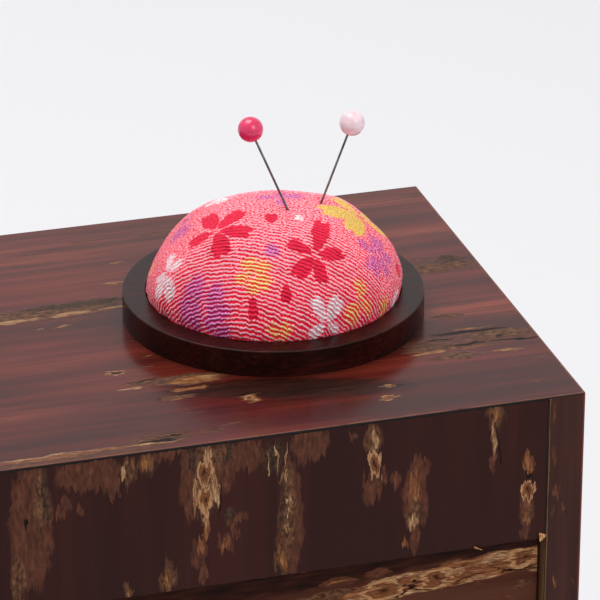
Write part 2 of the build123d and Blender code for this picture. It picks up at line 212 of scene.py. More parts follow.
@dataclass(frozen=True)
class Grain:
    """An uneven natural pattern whose lumps have a real size.

    Attributes:
        size: The lumps' size along, across and out of the surface, in mm.
        detail: How many finer layers lie on the lumps.
        rough: How strong the finer layers are.
    """

    size: tuple[float, float, float]
    detail: float = 2.0
    rough: float = 0.5

    def over(self, tree: Tree, point: Node) -> Node:
        """Add the pattern.

        Args:
            tree: The node tree to add to.
            point: The node that gives the place in mm.

        Returns:
            The node that gives the pattern, mostly from 0.3 to 0.7.
        """
        scaled = add(tree, "VectorMath", {0: point, 1: tuple(1 / side for side in self.size)},
                     operation="MULTIPLY")
        return add(tree, "TexNoise", {"Vector": scaled, "Scale": 1.0, "Detail": self.detail,
                                      "Roughness": self.rough})


@dataclass(frozen=True)
class Cork:
    """What a mark on the bark is made of: mostly weathering, with painted shade and painted sheen among
    the kinds.

    Attributes:
        stops: Its colours, from its pits to its crests.
        grain: The pattern of its pits and crests.
        crumble: How far that pattern eats into its outline, as a share of its size.
        edge: How soft its outline is.
        relief: How far its crests stand up, as a share of the sheet's relief.
        roughness: How dull it is.
    """

    stops: Stops
    grain: Grain
    crumble: float
    edge: float
    relief: float
    roughness: float


class Mark(Enum):
    """The kinds of mark laid on the cherry bark, painted shade and sheen among them, from the deepest
    layer of colour to the topmost.
    """

    # A clear brick red: partly redder bark, partly painted sheen where the polish catches the light.
    BLUSH_AND_SHEEN = Cork(((0.38, "#46180F"), (0.5, "#62271C"), (0.62, "#7C3728")),
                 Grain((60.0, 3.4, 20.0), 3.0, 0.6), 0.9, 0.5, 0.0, 0.24)
    # Painted shade, not a mark of the bark: a very dark warm brown where shadows and dark reflections
    # fall.
    PAINTED_SHADE = Cork(((0.3, "#180704"), (0.5, "#280E07"), (0.75, "#3E1A0D")),
                 Grain((9.0, 1.2, 4.0), 3.0), 0.5, 0.25, 0.0, 0.34)
    # Outer skin rubbed away: dull red-brown, its outline toothed by the fibres.
    RUSSET = Cork(((0.32, "#3C1E15"), (0.44, "#4B291B"), (0.56, "#593122"), (0.7, "#6A3E2B")),
                  Grain((2.6, 0.9, 2.0), 4.0, 0.62), 0.6, 0.09, 0.12, 0.45)
    # Bared inner bark: tan and fibrous.
    TAN = Cork(((0.3, "#381A0D"), (0.43, "#623822"), (0.55, "#825031"), (0.66, "#A07048"),
                (0.8, "#C69B6E")), Grain((3.4, 0.8, 3.0), 5.0, 0.66), 0.4, 0.08, 0.6, 0.5)
    # Old lenticel cork: crumbly, ochre with dark pits.
    OCHRE = Cork(((0.3, "#24130C"), (0.42, "#43281A"), (0.54, "#5F3E2A"), (0.66, "#7E563A"),
                  (0.8, "#A67F57")), Grain((1.8, 0.8, 1.5), 4.0, 0.7), 1.1, 0.22, 0.9, 0.6)
    # Algae and dust in the cork's pits: dark olive.
    MOSS = Cork(((0.3, "#1C110C"), (0.5, "#3E2A1F"), (0.72, "#5F4534")),
                Grain((1.5, 0.8, 1.5), 3.0, 0.7), 1.4, 0.3, 0.3, 0.65)
    # Resin-stained flecks: orange-gold.
    GOLD = Cork(((0.3, "#3A1C0E"), (0.45, "#66391D"), (0.58, "#885930"), (0.75, "#B48C5C")),
                Grain((2.4, 0.5, 1.5), 4.0, 0.65), 0.8, 0.14, 0.5, 0.45)
    # Resin that has set in a knot: clear amber over pale fibres.
    AMBER = Cork(((0.3, "#3A1B0D"), (0.44, "#6C4122"), (0.56, "#925F33"), (0.72, "#C0905A")),
                 Grain((3.2, 0.5, 1.5), 4.0, 0.66), 0.8, 0.14, 0.5, 0.36)
    # Torn inner bark: pale fibres.
    CREAM = Cork(((0.3, "#4E3020"), (0.43, "#7C5439"), (0.56, "#A47D58"), (0.72, "#CFAE86")),
                 Grain((2.6, 0.4, 1.5), 4.0, 0.68), 0.9, 0.14, 0.7, 0.55)
    # Healed knots: brown inside a pale rim, drawn from the distance to their middle.
    EYE = Cork(((0.08, "#2C130A"), (0.3, "#643A22"), (0.5, "#7C4B2C"), (0.62, "#4E2C1A"),
                (0.76, "#9A6A46"), (0.9, "#B1855D")),
               Grain((1.4, 0.7, 1.5), 4.0, 0.66), 0.5, 0.1, 0.6, 0.5)
    # Open splits: nearly black.
    CRACK = Cork(((0.3, "#060202"), (0.8, "#1A0C08")), Grain((1.5, 0.6, 1.5), 3.0), 0.6, 0.35, -0.8, 0.7)


@dataclass(frozen=True)
class Scar:
    """One mark laid on a sheet of bark, as an oval or a pointed lens.

    Attributes:
        mark: What kind it is.
        along: Its middle along the streaks, in mm from the box's origin.
        across: Its middle across the streaks, in mm.
        half_along: Half its length, in mm.
        half_across: Half its width, in mm.
        turn: How far it is turned from the streaks, in degrees.
        pointed: Whether its ends run out to points.
    """

    mark: Mark
    along: float
    across: float
    half_along: float
    half_across: float
    turn: float = 0.0
    pointed: bool = False

    def distance(self, tree: Tree, point: Node) -> Node:
        """Add how far a point is from the middle, as a share of the way to the outline.

        Args:
            tree: The node tree to add to.
            point: The node that gives the place in mm.

        Returns:
            The node that gives the distance.
        """
        half = (self.half_along, self.half_across)
        along, across = project(tree, point, (self.along, self.across), self.turn, half)
        here = add(tree, "CombineXYZ", {"X": along, "Y": across})
        if not self.pointed:
            return add(tree, "VectorMath", {0: here}, operation="LENGTH")
        sides = add(tree, "VectorMath", {0: here}, operation="ABSOLUTE")
        return add(tree, "VectorMath", {0: sides, 1: (1.0, 1.0, 0.0)}, operation="DOT_PRODUCT")


@dataclass(frozen=True)
class Arris:
    """An edge of a sheet, where hands have rubbed the polish away, where a pale joint line shows, or where
    painted shade darkens a joint.

    Attributes:
        planes: The planes that meet at the edge, or the one that cuts it: each an axis of the box, as
            X, Y or Z, and its place on that axis in mm.
        reach: How far from the edge it shows, in mm.
        colour: What it looks like there.
        whole: How unbroken it is, from 0 to 1.
    """

    planes: tuple[tuple[str, float], ...]
    reach: float
    colour: str
    whole: float = 0.5

    OUTLINE, FULL = 1.15, 0.75  # where it begins and where it covers the colour, in times its reach
    RAGGED = 5.0  # how far the fibres move the outline of a wholly broken edge, in times its reach

    def lay_on(self, tree: Tree, fibres: Node, under: Node) -> Node:
        """Lay the edge over a colour.

        Args:
            tree: The node tree to add to.
            fibres: A pattern that breaks it up.
            under: The colour so far.

        Returns:
            The node that gives the colour with the edge.
        """
        here = add(tree, "TexCoord")
        parts = add(tree, "SeparateXYZ", {"Vector": here.outputs["Object"]})
        near: Node | float = 0.0
        for axis, place in self.planes:
            away = add(tree, "Math", {0: parts.outputs[axis], 1: place * MM}, operation="SUBTRACT")
            span = add(tree, "Math", {0: away}, operation="ABSOLUTE")
            near = add(tree, "Math", {0: span, 1: 1 / (self.reach * MM), 2: near},
                       operation="MULTIPLY_ADD")
        ragged = self.RAGGED * (1 - self.whole)
        broken = add(tree, "Math", {0: fibres, 1: ragged, 2: -0.5 * ragged}, operation="MULTIPLY_ADD")
        told = add(tree, "Math", {0: near, 1: broken})
        mask = add(tree, "MapRange", {
            "Value": told, "From Min": self.OUTLINE, "From Max": self.FULL,
        }, **SOFT)
        return add(tree, "Mix", {"Factor": mask, "A": under, "B": self.colour}, data_type="RGBA")


@dataclass(frozen=True)
class CherryBark:
    """Cherry bark, steamed flat, glued down as a sheet and burnished.

    It gives the eye a deep brown-red ground with fine streaks that run one way and a satin polish,
    broken by dull russet patches, rough ochre lenticels and pale torn fibres.

    Attributes:
        name: The material's name.
        lay: How the sheet lies.
        scars: The marks that are laid by hand.
        arrises: Its worn edges, and the painted shade in its joints.
        scattered: How many of the places for chance lenticels have one, from 0 to 1.
        haze: How much of the sheet has its outer skin polished away, from 0 to 1.
        ground: The colours of the streaks, from charcoal to red.
        specular: How strongly the polish mirrors, where 0.5 is plain lacquer.
        roughness: How dull the polish is.
        shift: A move of the chance patterns in mm, so that no two sheets match.
        cut: The colour of the sheet's cut edge, or None where it is folded over the edge; near black, it
            is partly painted shade.
    """

    name: str
    # scars: The marks that are listed one by one.
    lay: Lay
    scars: tuple[Scar, ...] = ()
    arrises: tuple[Arris, ...] = ()
    scattered: float = 0.3
    haze: float = 0.2
    ground: Stops = ((0.4, "#24110E"), (0.5, "#3A1814"), (0.6, "#561F18"))
    specular: float = 0.25
    roughness: float = 0.3
    shift: float = 0.0
    # Near black: the edge's own dark colour together with painted shade in the joint under the top's front
    # edge.
    cut: str | None = "#100605"

    # The streaks of sound bark, from the broadest to the finest, and each one's share in the tone.
    CLOUD = Grain((90.0, 22.0, 40.0), 1.0)
    STREAK = Grain((70.0, 4.5, 30.0), 2.0, 0.55)
    FINE_STREAK = Grain((26.0, 0.6, 30.0), 1.0)
    CLOUD_SHARE, STREAK_SHARE, FINE_SHARE = 0.5, 0.38, 0.12
    # The fibres that make a mark's outline ragged, and how far they pull it back and forth, in mm.
    TEETH = Grain((8.0, 0.75, 6.0), 2.0, 0.6)
    TEETH_PULL = 9.0
    SWAY = Grain((5.0, 2.6, 6.0), 2.0, 0.5)
    SWAY_PULL = 2.8
    # The fibres that break up a worn arris.
    FIBRE = Grain((6.0, 1.7, 4.0), 3.0, 0.6)
    # Chance marks: how far apart they may lie, along and across in mm, which kinds they are, how many
    # of their places have one, and how large the largest is, as a share of that distance.
    LENTICELS = ((34.0, 10.0), (Mark.OCHRE, Mark.RUSSET, Mark.CREAM), 1.0, 0.3)
    FLECKS = ((11.0, 4.2), (Mark.GOLD, Mark.OCHRE), 0.3, 0.16)
    SMALLEST = 0.3  # size of the smallest chance mark, as a share of the largest
    OUT_OF_REACH = 9.0  # a distance at which no mark shows
    # The rubbed patches: their pattern, how sharp their outlines are, where in the pattern they
    # begin on a sheet without haze, and how much sooner with it.
    PATCH = Grain((15.0, 5.0, 30.0), 2.0, 0.6)
    PATCH_SHARPNESS, PATCH_START, PATCH_SPREAD = 12.0, 0.72, 0.26
    GLOSS_PLAY = 0.16  # how much the fine streaks vary the roughness
    FINE_RELIEF = 0.05  # height of the fine streaks, as a share of the relief
    RELIEF = 0.3  # mm
    STAGGER = 0.61  # of a shift across the streaks, as a share of the same shift along them
    FACE, EDGE = 0.8, 0.45  # how squarely the face and the cut edge look out of the sheet

    def material(self) -> bpy.types.Material:
        """Build the material.

        Returns:
            The finished material.
        """
        material, tree = start(self.name)
        laid = self.lay.point(tree)
        move = (self.shift, self.STAGGER * self.shift, self.shift)
        moved = add(tree, "VectorMath", {0: laid, 1: move})
        fibres = self.FIBRE.over(tree, moved)
        teeth = add(tree, "Math", {
            0: self.TEETH.over(tree, moved), 1: self.TEETH_PULL, 2: -0.5 * self.TEETH_PULL,
        }, operation="MULTIPLY_ADD")
        sway = add(tree, "Math", {
            0: self.SWAY.over(tree, moved), 1: self.SWAY_PULL, 2: -0.5 * self.SWAY_PULL,
        }, operation="MULTIPLY_ADD")
        pull = add(tree, "CombineXYZ", {"X": teeth, "Y": sway})
        ragged = add(tree, "VectorMath", {0: laid, 1: pull})
        chance = add(tree, "VectorMath", {0: moved, 1: pull})

        near: dict[Mark, Node] = {}
        for mark, distance in self._by_chance(tree, chance):
            near[mark] = self._nearer(tree, near.get(mark), distance)
        for scar in self.scars:
            near[scar.mark] = self._nearer(tree, near.get(scar.mark), scar.distance(tree, ragged))

        colour, fine = self._ground(tree, moved)
        dull = add(tree, "Math", {
            0: fine, 1: self.GLOSS_PLAY, 2: self.roughness - 0.5 * self.GLOSS_PLAY,
        }, operation="MULTIPLY_ADD")
        layer = (colour, dull, add(tree, "Math", {0: fine, 1: self.FINE_RELIEF}, operation="MULTIPLY"))
        for mark in Mark:
            if mark in near:
                layer = self._lay_on(tree, moved, mark, near[mark], layer)
        colour = layer[0]
        for arris in self.arrises:
            colour = arris.lay_on(tree, fibres, colour)
        bump = {"Height": layer[2], "Distance": self.RELIEF * MM, "Strength": 0.8}
        # To the eye: satin over the sound bark, dull where it is worn or corky.
        return shade(material, {
            "Base Color": colour if self.cut is None else self._cut_edge(tree, colour),
            "Roughness": layer[1],
            "Normal": add(tree, "Bump", bump),
            "Specular IOR Level": self.specular,
            "IOR": 1.5,
        })

    def _nearer(self, tree: Tree, one: Node | None, other: Node) -> Node:
        """Add the smaller of two distances, or give the only one.

        Args:
            tree: The node tree to add to.
            one: A distance, if there is one yet.
            other: The other distance.

        Returns:
            The node that gives the distance.
        """
        if one is None:
            return other
        return add(tree, "Math", {0: one, 1: other}, operation="MINIMUM")

    def _ground(self, tree: Tree, point: Node) -> tuple[Node, Node]:
        """Add the streaked colour of sound bark.

        Args:
            tree: The node tree to add to.
            point: The node that gives the place in mm.

        Returns:
            The nodes that give the colour and the finest streaks.
        """
        fine = self.FINE_STREAK.over(tree, point)
        cloud = add(tree, "Math", {0: self.CLOUD.over(tree, point), 1: self.CLOUD_SHARE},
                    operation="MULTIPLY")
        broad = add(tree, "Math", {0: self.STREAK.over(tree, point), 1: self.STREAK_SHARE, 2: cloud},
                    operation="MULTIPLY_ADD")
        tone = add(tree, "Math", {0: fine, 1: self.FINE_SHARE, 2: broad}, operation="MULTIPLY_ADD")
        return add(tree, "ValToRGB", {"Fac": tone}, stops=self.ground), fine

    def _by_chance(self, tree: Tree, point: Node) -> list[tuple[Mark, Node]]:
        """Add the rubbed patches, lenticels and flecks that fall by chance over the whole sheet.

        Args:
            tree: The node tree to add to.
            point: The node that gives the ragged place in mm.

        Returns:
            Each kind of mark with the distance from it, as a share of the way to its outline.
        """
        found: list[tuple[Mark, Node]] = []
        if self.haze > 0:
            steep = self.PATCH_SHARPNESS
            edge = self.PATCH_START - self.PATCH_SPREAD * self.haze
            found.append((Mark.RUSSET, add(tree, "Math", {
                0: self.PATCH.over(tree, point), 1: -steep, 2: 1 + steep * edge,
            }, operation="MULTIPLY_ADD")))
        if self.scattered > 0:
            for apart, marks, often, reach in (self.LENTICELS, self.FLECKS):
                scaled = add(tree, "VectorMath", {0: point, 1: (1 / apart[0], 1 / apart[1], 0.0)},
                             operation="MULTIPLY")
                cells = add(tree, "TexVoronoi", {"Vector": scaled, "Scale": 1.0}, voronoi_dimensions="2D")
                chances = add(tree, "SeparateColor", {"Color": cells.outputs["Color"]})
                there = add(tree, "Math", {0: chances.outputs["Red"], 1: often * self.scattered},
                            operation="LESS_THAN")
                wide = add(tree, "Math", {
                    0: chances.outputs["Green"], 1: (1 - self.SMALLEST) * reach, 2: self.SMALLEST * reach,
                }, operation="MULTIPLY_ADD")
                near = add(tree, "Math", {0: cells.outputs["Distance"], 1: wide}, operation="DIVIDE")
                pick = add(tree, "Math", {0: chances.outputs["Blue"], 1: float(len(marks))},
                           operation="MULTIPLY")
                for number, mark in enumerate(marks):
                    this = add(tree, "Math", {0: pick, 1: number + 0.5, 2: 0.5}, operation="COMPARE")
                    chosen = add(tree, "Math", {0: this, 1: there}, operation="MULTIPLY")
                    far = add(tree, "Math", {0: chosen, 1: -self.OUT_OF_REACH, 2: self.OUT_OF_REACH},
                              operation="MULTIPLY_ADD")
                    found.append((mark, add(tree, "Math", {0: near, 1: far})))
        return found

    def _lay_on(self, tree: Tree, point: Node, mark: Mark, near: Node,
                under: tuple[Node, Node, Node]) -> tuple[Node, Node, Node]:
        """Lay one kind of mark over what is there.

        Args:
            tree: The node tree to add to.
            point: The node that gives the place in mm.
            mark: The kind of mark.
            near: The distance from such marks, as a share of the way to their outlines.
            under: The colour, roughness and height below it.

        Returns:
            The colour, roughness and height with it.
        """
        cork = mark.value
        lumps = cork.grain.over(tree, point)
        eaten = add(tree, "Math", {0: lumps, 1: cork.crumble, 2: -0.5 * cork.crumble},
                    operation="MULTIPLY_ADD")
        broken = add(tree, "Math", {0: near, 1: eaten})
        mask = add(tree, "MapRange", {
            "Value": broken, "From Min": 1 + cork.edge, "From Max": 1 - cork.edge,
        }, **SOFT)
        tint = add(tree, "ValToRGB", {"Fac": broken if mark is Mark.EYE else lumps}, stops=cork.stops)
        colour, roughness, height = under
        raised = add(tree, "Math", {0: lumps, 1: cork.relief}, operation="MULTIPLY")
        return (
            add(tree, "Mix", {"Factor": mask, "A": colour, "B": tint}, data_type="RGBA"),
            add(tree, "Mix", {"Factor": mask, "A": roughness, "B": cork.roughness}),
            add(tree, "Mix", {"Factor": mask, "A": height, "B": raised}),
        )

    def _cut_edge(self, tree: Tree, colour: Node) -> Node:
        """Colour the sheet's cut edge, with the painted shade that its dark default gives the joint under
        the top.

        Args:
            tree: The node tree to add to.
            colour: The colour so far.

        Returns:
            The colour with its cut edge.
        """
        facing = self.lay.facing(tree)
        edge = add(tree, "MapRange", {
            "Value": facing, "From Min": self.FACE, "From Max": self.EDGE,
        }, **SOFT)
        return add(tree, "Mix", {"Factor": edge, "A": colour, "B": self.cut}, data_type="RGBA")


@dataclass(frozen=True)
class PlanedWood:
    """Straight-grained hardwood, planed and left without lacquer.

    It gives the eye soft growth bands, short dark pores and a dull sheen.

    Attributes:
        name: The material's name.
        lay: How the board lies.
        stops: The colours from early to late wood.
        band: The width of a growth band in mm.
        roughness: How dull the wood is.
    """

    name: str
    lay: Lay
    stops: Stops = ((0.1, "#8C6540"), (0.55, "#7A5434"), (0.9, "#5E3E26"))
    band: float = 3.4
    roughness: float = 0.55

    SWAY = Grain((90.0, 16.0, 16.0), 1.0)
    SWAY_PULL = 22.0  # mm that the bands wander
    SLOPE = 0.6  # how steeply the growth rings run through the board
    PORE = Grain((3.6, 0.28, 0.28), 1.0)
    PORE_FROM, PORE_TO = 0.62, 0.7  # where in that pattern a pore begins and where it is full
    FIGURE = Grain((40.0, 9.0, 9.0), 3.0)
    BAND_SHARE = 0.2  # of the bands in the tone, beside the figure
    GLOSS_PLAY = 0.2  # how much the figure varies the roughness

    def material(self) -> bpy.types.Material:
        """Build the material.

        Returns:
            The finished material.
        """
        material, tree = start(self.name)
        point = self.lay.point(tree)
        sway = self.SWAY.over(tree, point)
        parts = add(tree, "SeparateXYZ", {"Vector": point})
        depth = add(tree, "Math", {0: parts.outputs["Z"], 1: self.SLOPE, 2: parts.outputs["Y"]},
                    operation="MULTIPLY_ADD")
        swayed = add(tree, "Math", {0: sway, 1: self.SWAY_PULL, 2: depth}, operation="MULTIPLY_ADD")
        turns = add(tree, "Math", {0: swayed, 1: 2 * math.pi / self.band}, operation="MULTIPLY")
        bands = add(tree, "Math", {0: turns}, operation="SINE")
        figure = self.FIGURE.over(tree, point)
        tone = add(tree, "Math", {0: bands, 1: self.BAND_SHARE, 2: figure}, operation="MULTIPLY_ADD")
        colour = add(tree, "ValToRGB", {"Fac": tone}, stops=self.stops)
        pores = self.PORE.over(tree, point)
        pore = add(tree, "MapRange", {
            "Value": pores, "From Min": self.PORE_FROM, "From Max": self.PORE_TO,
        }, **SOFT)
        height = add(tree, "Math", {0: 1.0, 1: pore}, operation="SUBTRACT")
        # To the eye: soft bands and short dark pores under the dull sheen of bare planed wood.
        return shade(material, {
            "Base Color": add(tree, "Mix", {"Factor": pore, "A": colour, "B": self.stops[-1][1]},
                              data_type="RGBA"),
            "Roughness": add(tree, "Math", {
                0: figure, 1: self.GLOSS_PLAY, 2: self.roughness - 0.5 * self.GLOSS_PLAY,
            }, operation="MULTIPLY_ADD"),
            "Normal": add(tree, "Bump", {"Height": height, "Distance": 0.05 * MM, "Strength": 0.6}),
            "IOR": 1.5,
        })


@dataclass(frozen=True)
class TurnedLacquer:
    """Close-grained hardwood, turned on a lathe, stained and wiped with dark lacquer.

    It gives the eye a near-black red-brown with faint rings round the lathe's axis and a satin sheen.

    Attributes:
        name: The material's name.
        axis: A point on the lathe's axis in mm, in the box's frame.
        along: Which way the axis points, as X, Y or Z.
        stops: The colours of the stain, from pits to crests.
        roughness: How dull the lacquer is.
    """

    name: str
    axis: tuple[float, float, float]
    along: str = "Z"
    stops: Stops = ((0.4, "#190403"), (0.5, "#250705"), (0.6, "#380E08"))
    roughness: float = 0.3

    TOOL_LINE = 0.9  # mm; the real 0.3 mm lines are too fine for the picture
    LINE_RELIEF = 0.12  # height of a tool line, as a share of a fibre's
    MOTTLE = Grain((9.0, 9.0, 9.0), 3.0)
    UNEVEN = 5.0  # how far the mottle shifts the tool lines, in radians of their wave
    GLOSS_PLAY = 0.16  # how much the mottle varies the roughness
    FIBRE = Grain((8.0, 0.6, 0.6), 2.0)

    def material(self) -> bpy.types.Material:
        """Build the material.

        Returns:
            The finished material.
        """
        material, tree = start(self.name)
        point = Lay.TOP.point(tree)
        from_axis = add(tree, "VectorMath", {0: point, 1: self.axis}, operation="SUBTRACT")
        flat = tuple(0.0 if axis == self.along else 1.0 for axis in "XYZ")
        radial = add(tree, "VectorMath", {0: from_axis, 1: flat}, operation="MULTIPLY")
        radius = add(tree, "VectorMath", {0: radial}, operation="LENGTH")
        mottle = self.MOTTLE.over(tree, point)
        fibre = self.FIBRE.over(tree, point)
        turns = add(tree, "Math", {0: radius, 1: 2 * math.pi / self.TOOL_LINE}, operation="MULTIPLY")
        uneven = add(tree, "Math", {0: mottle, 1: self.UNEVEN, 2: turns}, operation="MULTIPLY_ADD")
        lines = add(tree, "Math", {0: uneven}, operation="SINE")
        half_mottle = add(tree, "Math", {0: mottle, 1: 0.5}, operation="MULTIPLY")
        tone = add(tree, "Math", {0: fibre, 1: 0.5, 2: half_mottle}, operation="MULTIPLY_ADD")
        height = add(tree, "Math", {0: lines, 1: self.LINE_RELIEF, 2: fibre}, operation="MULTIPLY_ADD")
        # To the eye: nearly black, warm where light gets in, with faint rings under satin lacquer.
        return shade(material, {
            "Base Color": add(tree, "ValToRGB", {"Fac": tone}, stops=self.stops),
            "Roughness": add(tree, "Math", {
                0: mottle, 1: self.GLOSS_PLAY, 2: self.roughness - 0.5 * self.GLOSS_PLAY,
            }, operation="MULTIPLY_ADD"),
            "Normal": add(tree, "Bump", {"Height": height, "Distance": 0.05 * MM, "Strength": 0.5}),
            "Specular IOR Level": 0.16,
            "IOR": 1.5,
        })


class Dye(Enum):
    """The printing inks: in the furrows, deeper in part as painted shade, on the crests, paler in part as
    painted highlight, their blur and how much they cover.
    """

    PURPLE = ("#960A60", "#E284D0", 0.5, 0.74)
    YELLOW = ("#EE3A34", "#FFE486", 0.42, 0.92)
    LEMON = ("#DCA63E", "#F2D870", 0.16, 0.94)
    WHITE = ("#EA9EAF", "#FFFCF9", 0.12, 0.96)
    CRIMSON = ("#D20730", "#F2224C", 0.08, 1.0)


@dataclass(frozen=True)
class Blossom:
    """One blossom of the print, as loose petals round a middle.

    Attributes:
        dye: What it is printed with.
        middle: Its middle on the cloth in mm, rightwards and backwards from the crown.
        petals: For each petal, the way it points in degrees from rightwards, and its length in mm.
        width: A petal's width as a share of its length.
    """

    dye: Dye
    middle: tuple[float, float]
    petals: tuple[tuple[float, float], ...]
    width: float = 0.5


PRINT = (
    Blossom(Dye.PURPLE, (-25.6, -21.6), ((96, 8.0), (1, 6.5), (154, 9.0), (-65, 8.5), (-171, 7.5)), 0.8),
    Blossom(Dye.PURPLE, (-28.0, -28.9), ((-30, 6.5), (60, 5.0)), 0.8),
    Blossom(Dye.PURPLE, (-20.8, 11.7), ((48, 4.5), (-143, 4.0), (-110, 8.0)), 0.8),
    Blossom(Dye.PURPLE, (2.6, 2.9), ((142, 6.0), (70, 6.0), (25, 7.0), (-101, 4.0)), 0.6),
    Blossom(Dye.PURPLE, (23.5, -15.1), ((159, 6.0), (80, 7.5), (18, 6.0), (-116, 8.0), (-60, 6.0)), 0.6),
    Blossom(Dye.PURPLE, (-4.5, -14.5), ((-106, 4.5),), 0.8),
    Blossom(Dye.YELLOW, (-11.8, -22.2), ((86, 5.5), (25, 5.5), (168, 4.5), (-102, 5.0), (-48, 5.5)), 0.75),
    Blossom(Dye.LEMON, (22.5, -0.2), ((130, 9.0), (-166, 12.6), (-119, 11.7), (-19, 8.0), (55, 7.0)), 0.5),
    Blossom(Dye.YELLOW, (15.6, -30.9), ((85, 5.5), (-124, 6.5), (-7, 5.0)), 0.75),
    Blossom(Dye.YELLOW, (-9.5, -38.6), ((109, 4.5), (35, 5.0)), 0.75),
    Blossom(Dye.YELLOW, (-32.0, 5.7), ((175, 4.0), (110, 5.0)), 0.7),
    Blossom(Dye.YELLOW, (26.4, -25.5), ((-107, 5.0),), 0.8),
    Blossom(Dye.WHITE, (-30.6, -5.3), ((49, 6.0), (-13, 5.5), (147, 4.5), (-168, 7.0), (-110, 8.0)), 0.5),
    Blossom(Dye.WHITE, (4.8, -37.0), ((115, 7.0), (53, 8.0), (-152, 6.0), (-14, 5.0)), 0.5),
    Blossom(Dye.WHITE, (-7.7, 17.4), ((-142, 7.5), (-108, 8.5), (20, 8.0), (90, 7.0)), 0.4),
    Blossom(Dye.WHITE, (2.6, -7.5), ((6, 2.6),), 0.9),
    Blossom(Dye.WHITE, (32.3, -18.8), ((-103, 7.0),), 0.4),
    Blossom(Dye.WHITE, (8.9, -9.3), ((0, 1.5),), 0.8),
    Blossom(Dye.CRIMSON, (-15.3, -4.1), ((89, 9.5), (27, 9.4), (-39, 9.6), (-98, 9.9), (173, 7.5)), 0.5),
    Blossom(Dye.CRIMSON, (4.7, -20.2), ((8, 8.0), (-87, 7.9), (-141, 8.8), (142, 7.5)), 0.5),
    Blossom(Dye.CRIMSON, (4.7, -20.2), ((66, 13.5),), 0.34),
    Blossom(Dye.CRIMSON, (-2.9, -8.8), ((74, 5.0),), 0.6),
    Blossom(Dye.CRIMSON, (-4.2, -26.0), ((-105, 5.4),), 0.55),
    Blossom(Dye.CRIMSON, (-13.2, -26.4), ((-106, 6.5),), 0.45),
    Blossom(Dye.CRIMSON, (33.0, -9.5), ((-100, 6.0),), 0.45),
    # The back of the pad, which goes on in the same way.
    Blossom(Dye.CRIMSON, (-4.0, 30.0), ((10, 9.0), (82, 9.0), (154, 9.0), (-134, 9.0), (-62, 9.0)), 0.5),
    Blossom(Dye.WHITE, (17.0, 24.0), ((25, 7.0), (97, 7.0), (169, 7.0), (-119, 7.0), (-47, 7.0)), 0.5),
    Blossom(Dye.YELLOW, (-22.0, 27.0), ((0, 6.0), (72, 6.0), (144, 6.0), (-144, 6.0), (-72, 6.0)), 0.7),
    Blossom(Dye.PURPLE, (30.0, 12.0), ((40, 6.0), (112, 6.0), (-176, 6.0), (-104, 6.0), (-32, 6.0)), 0.7),
)


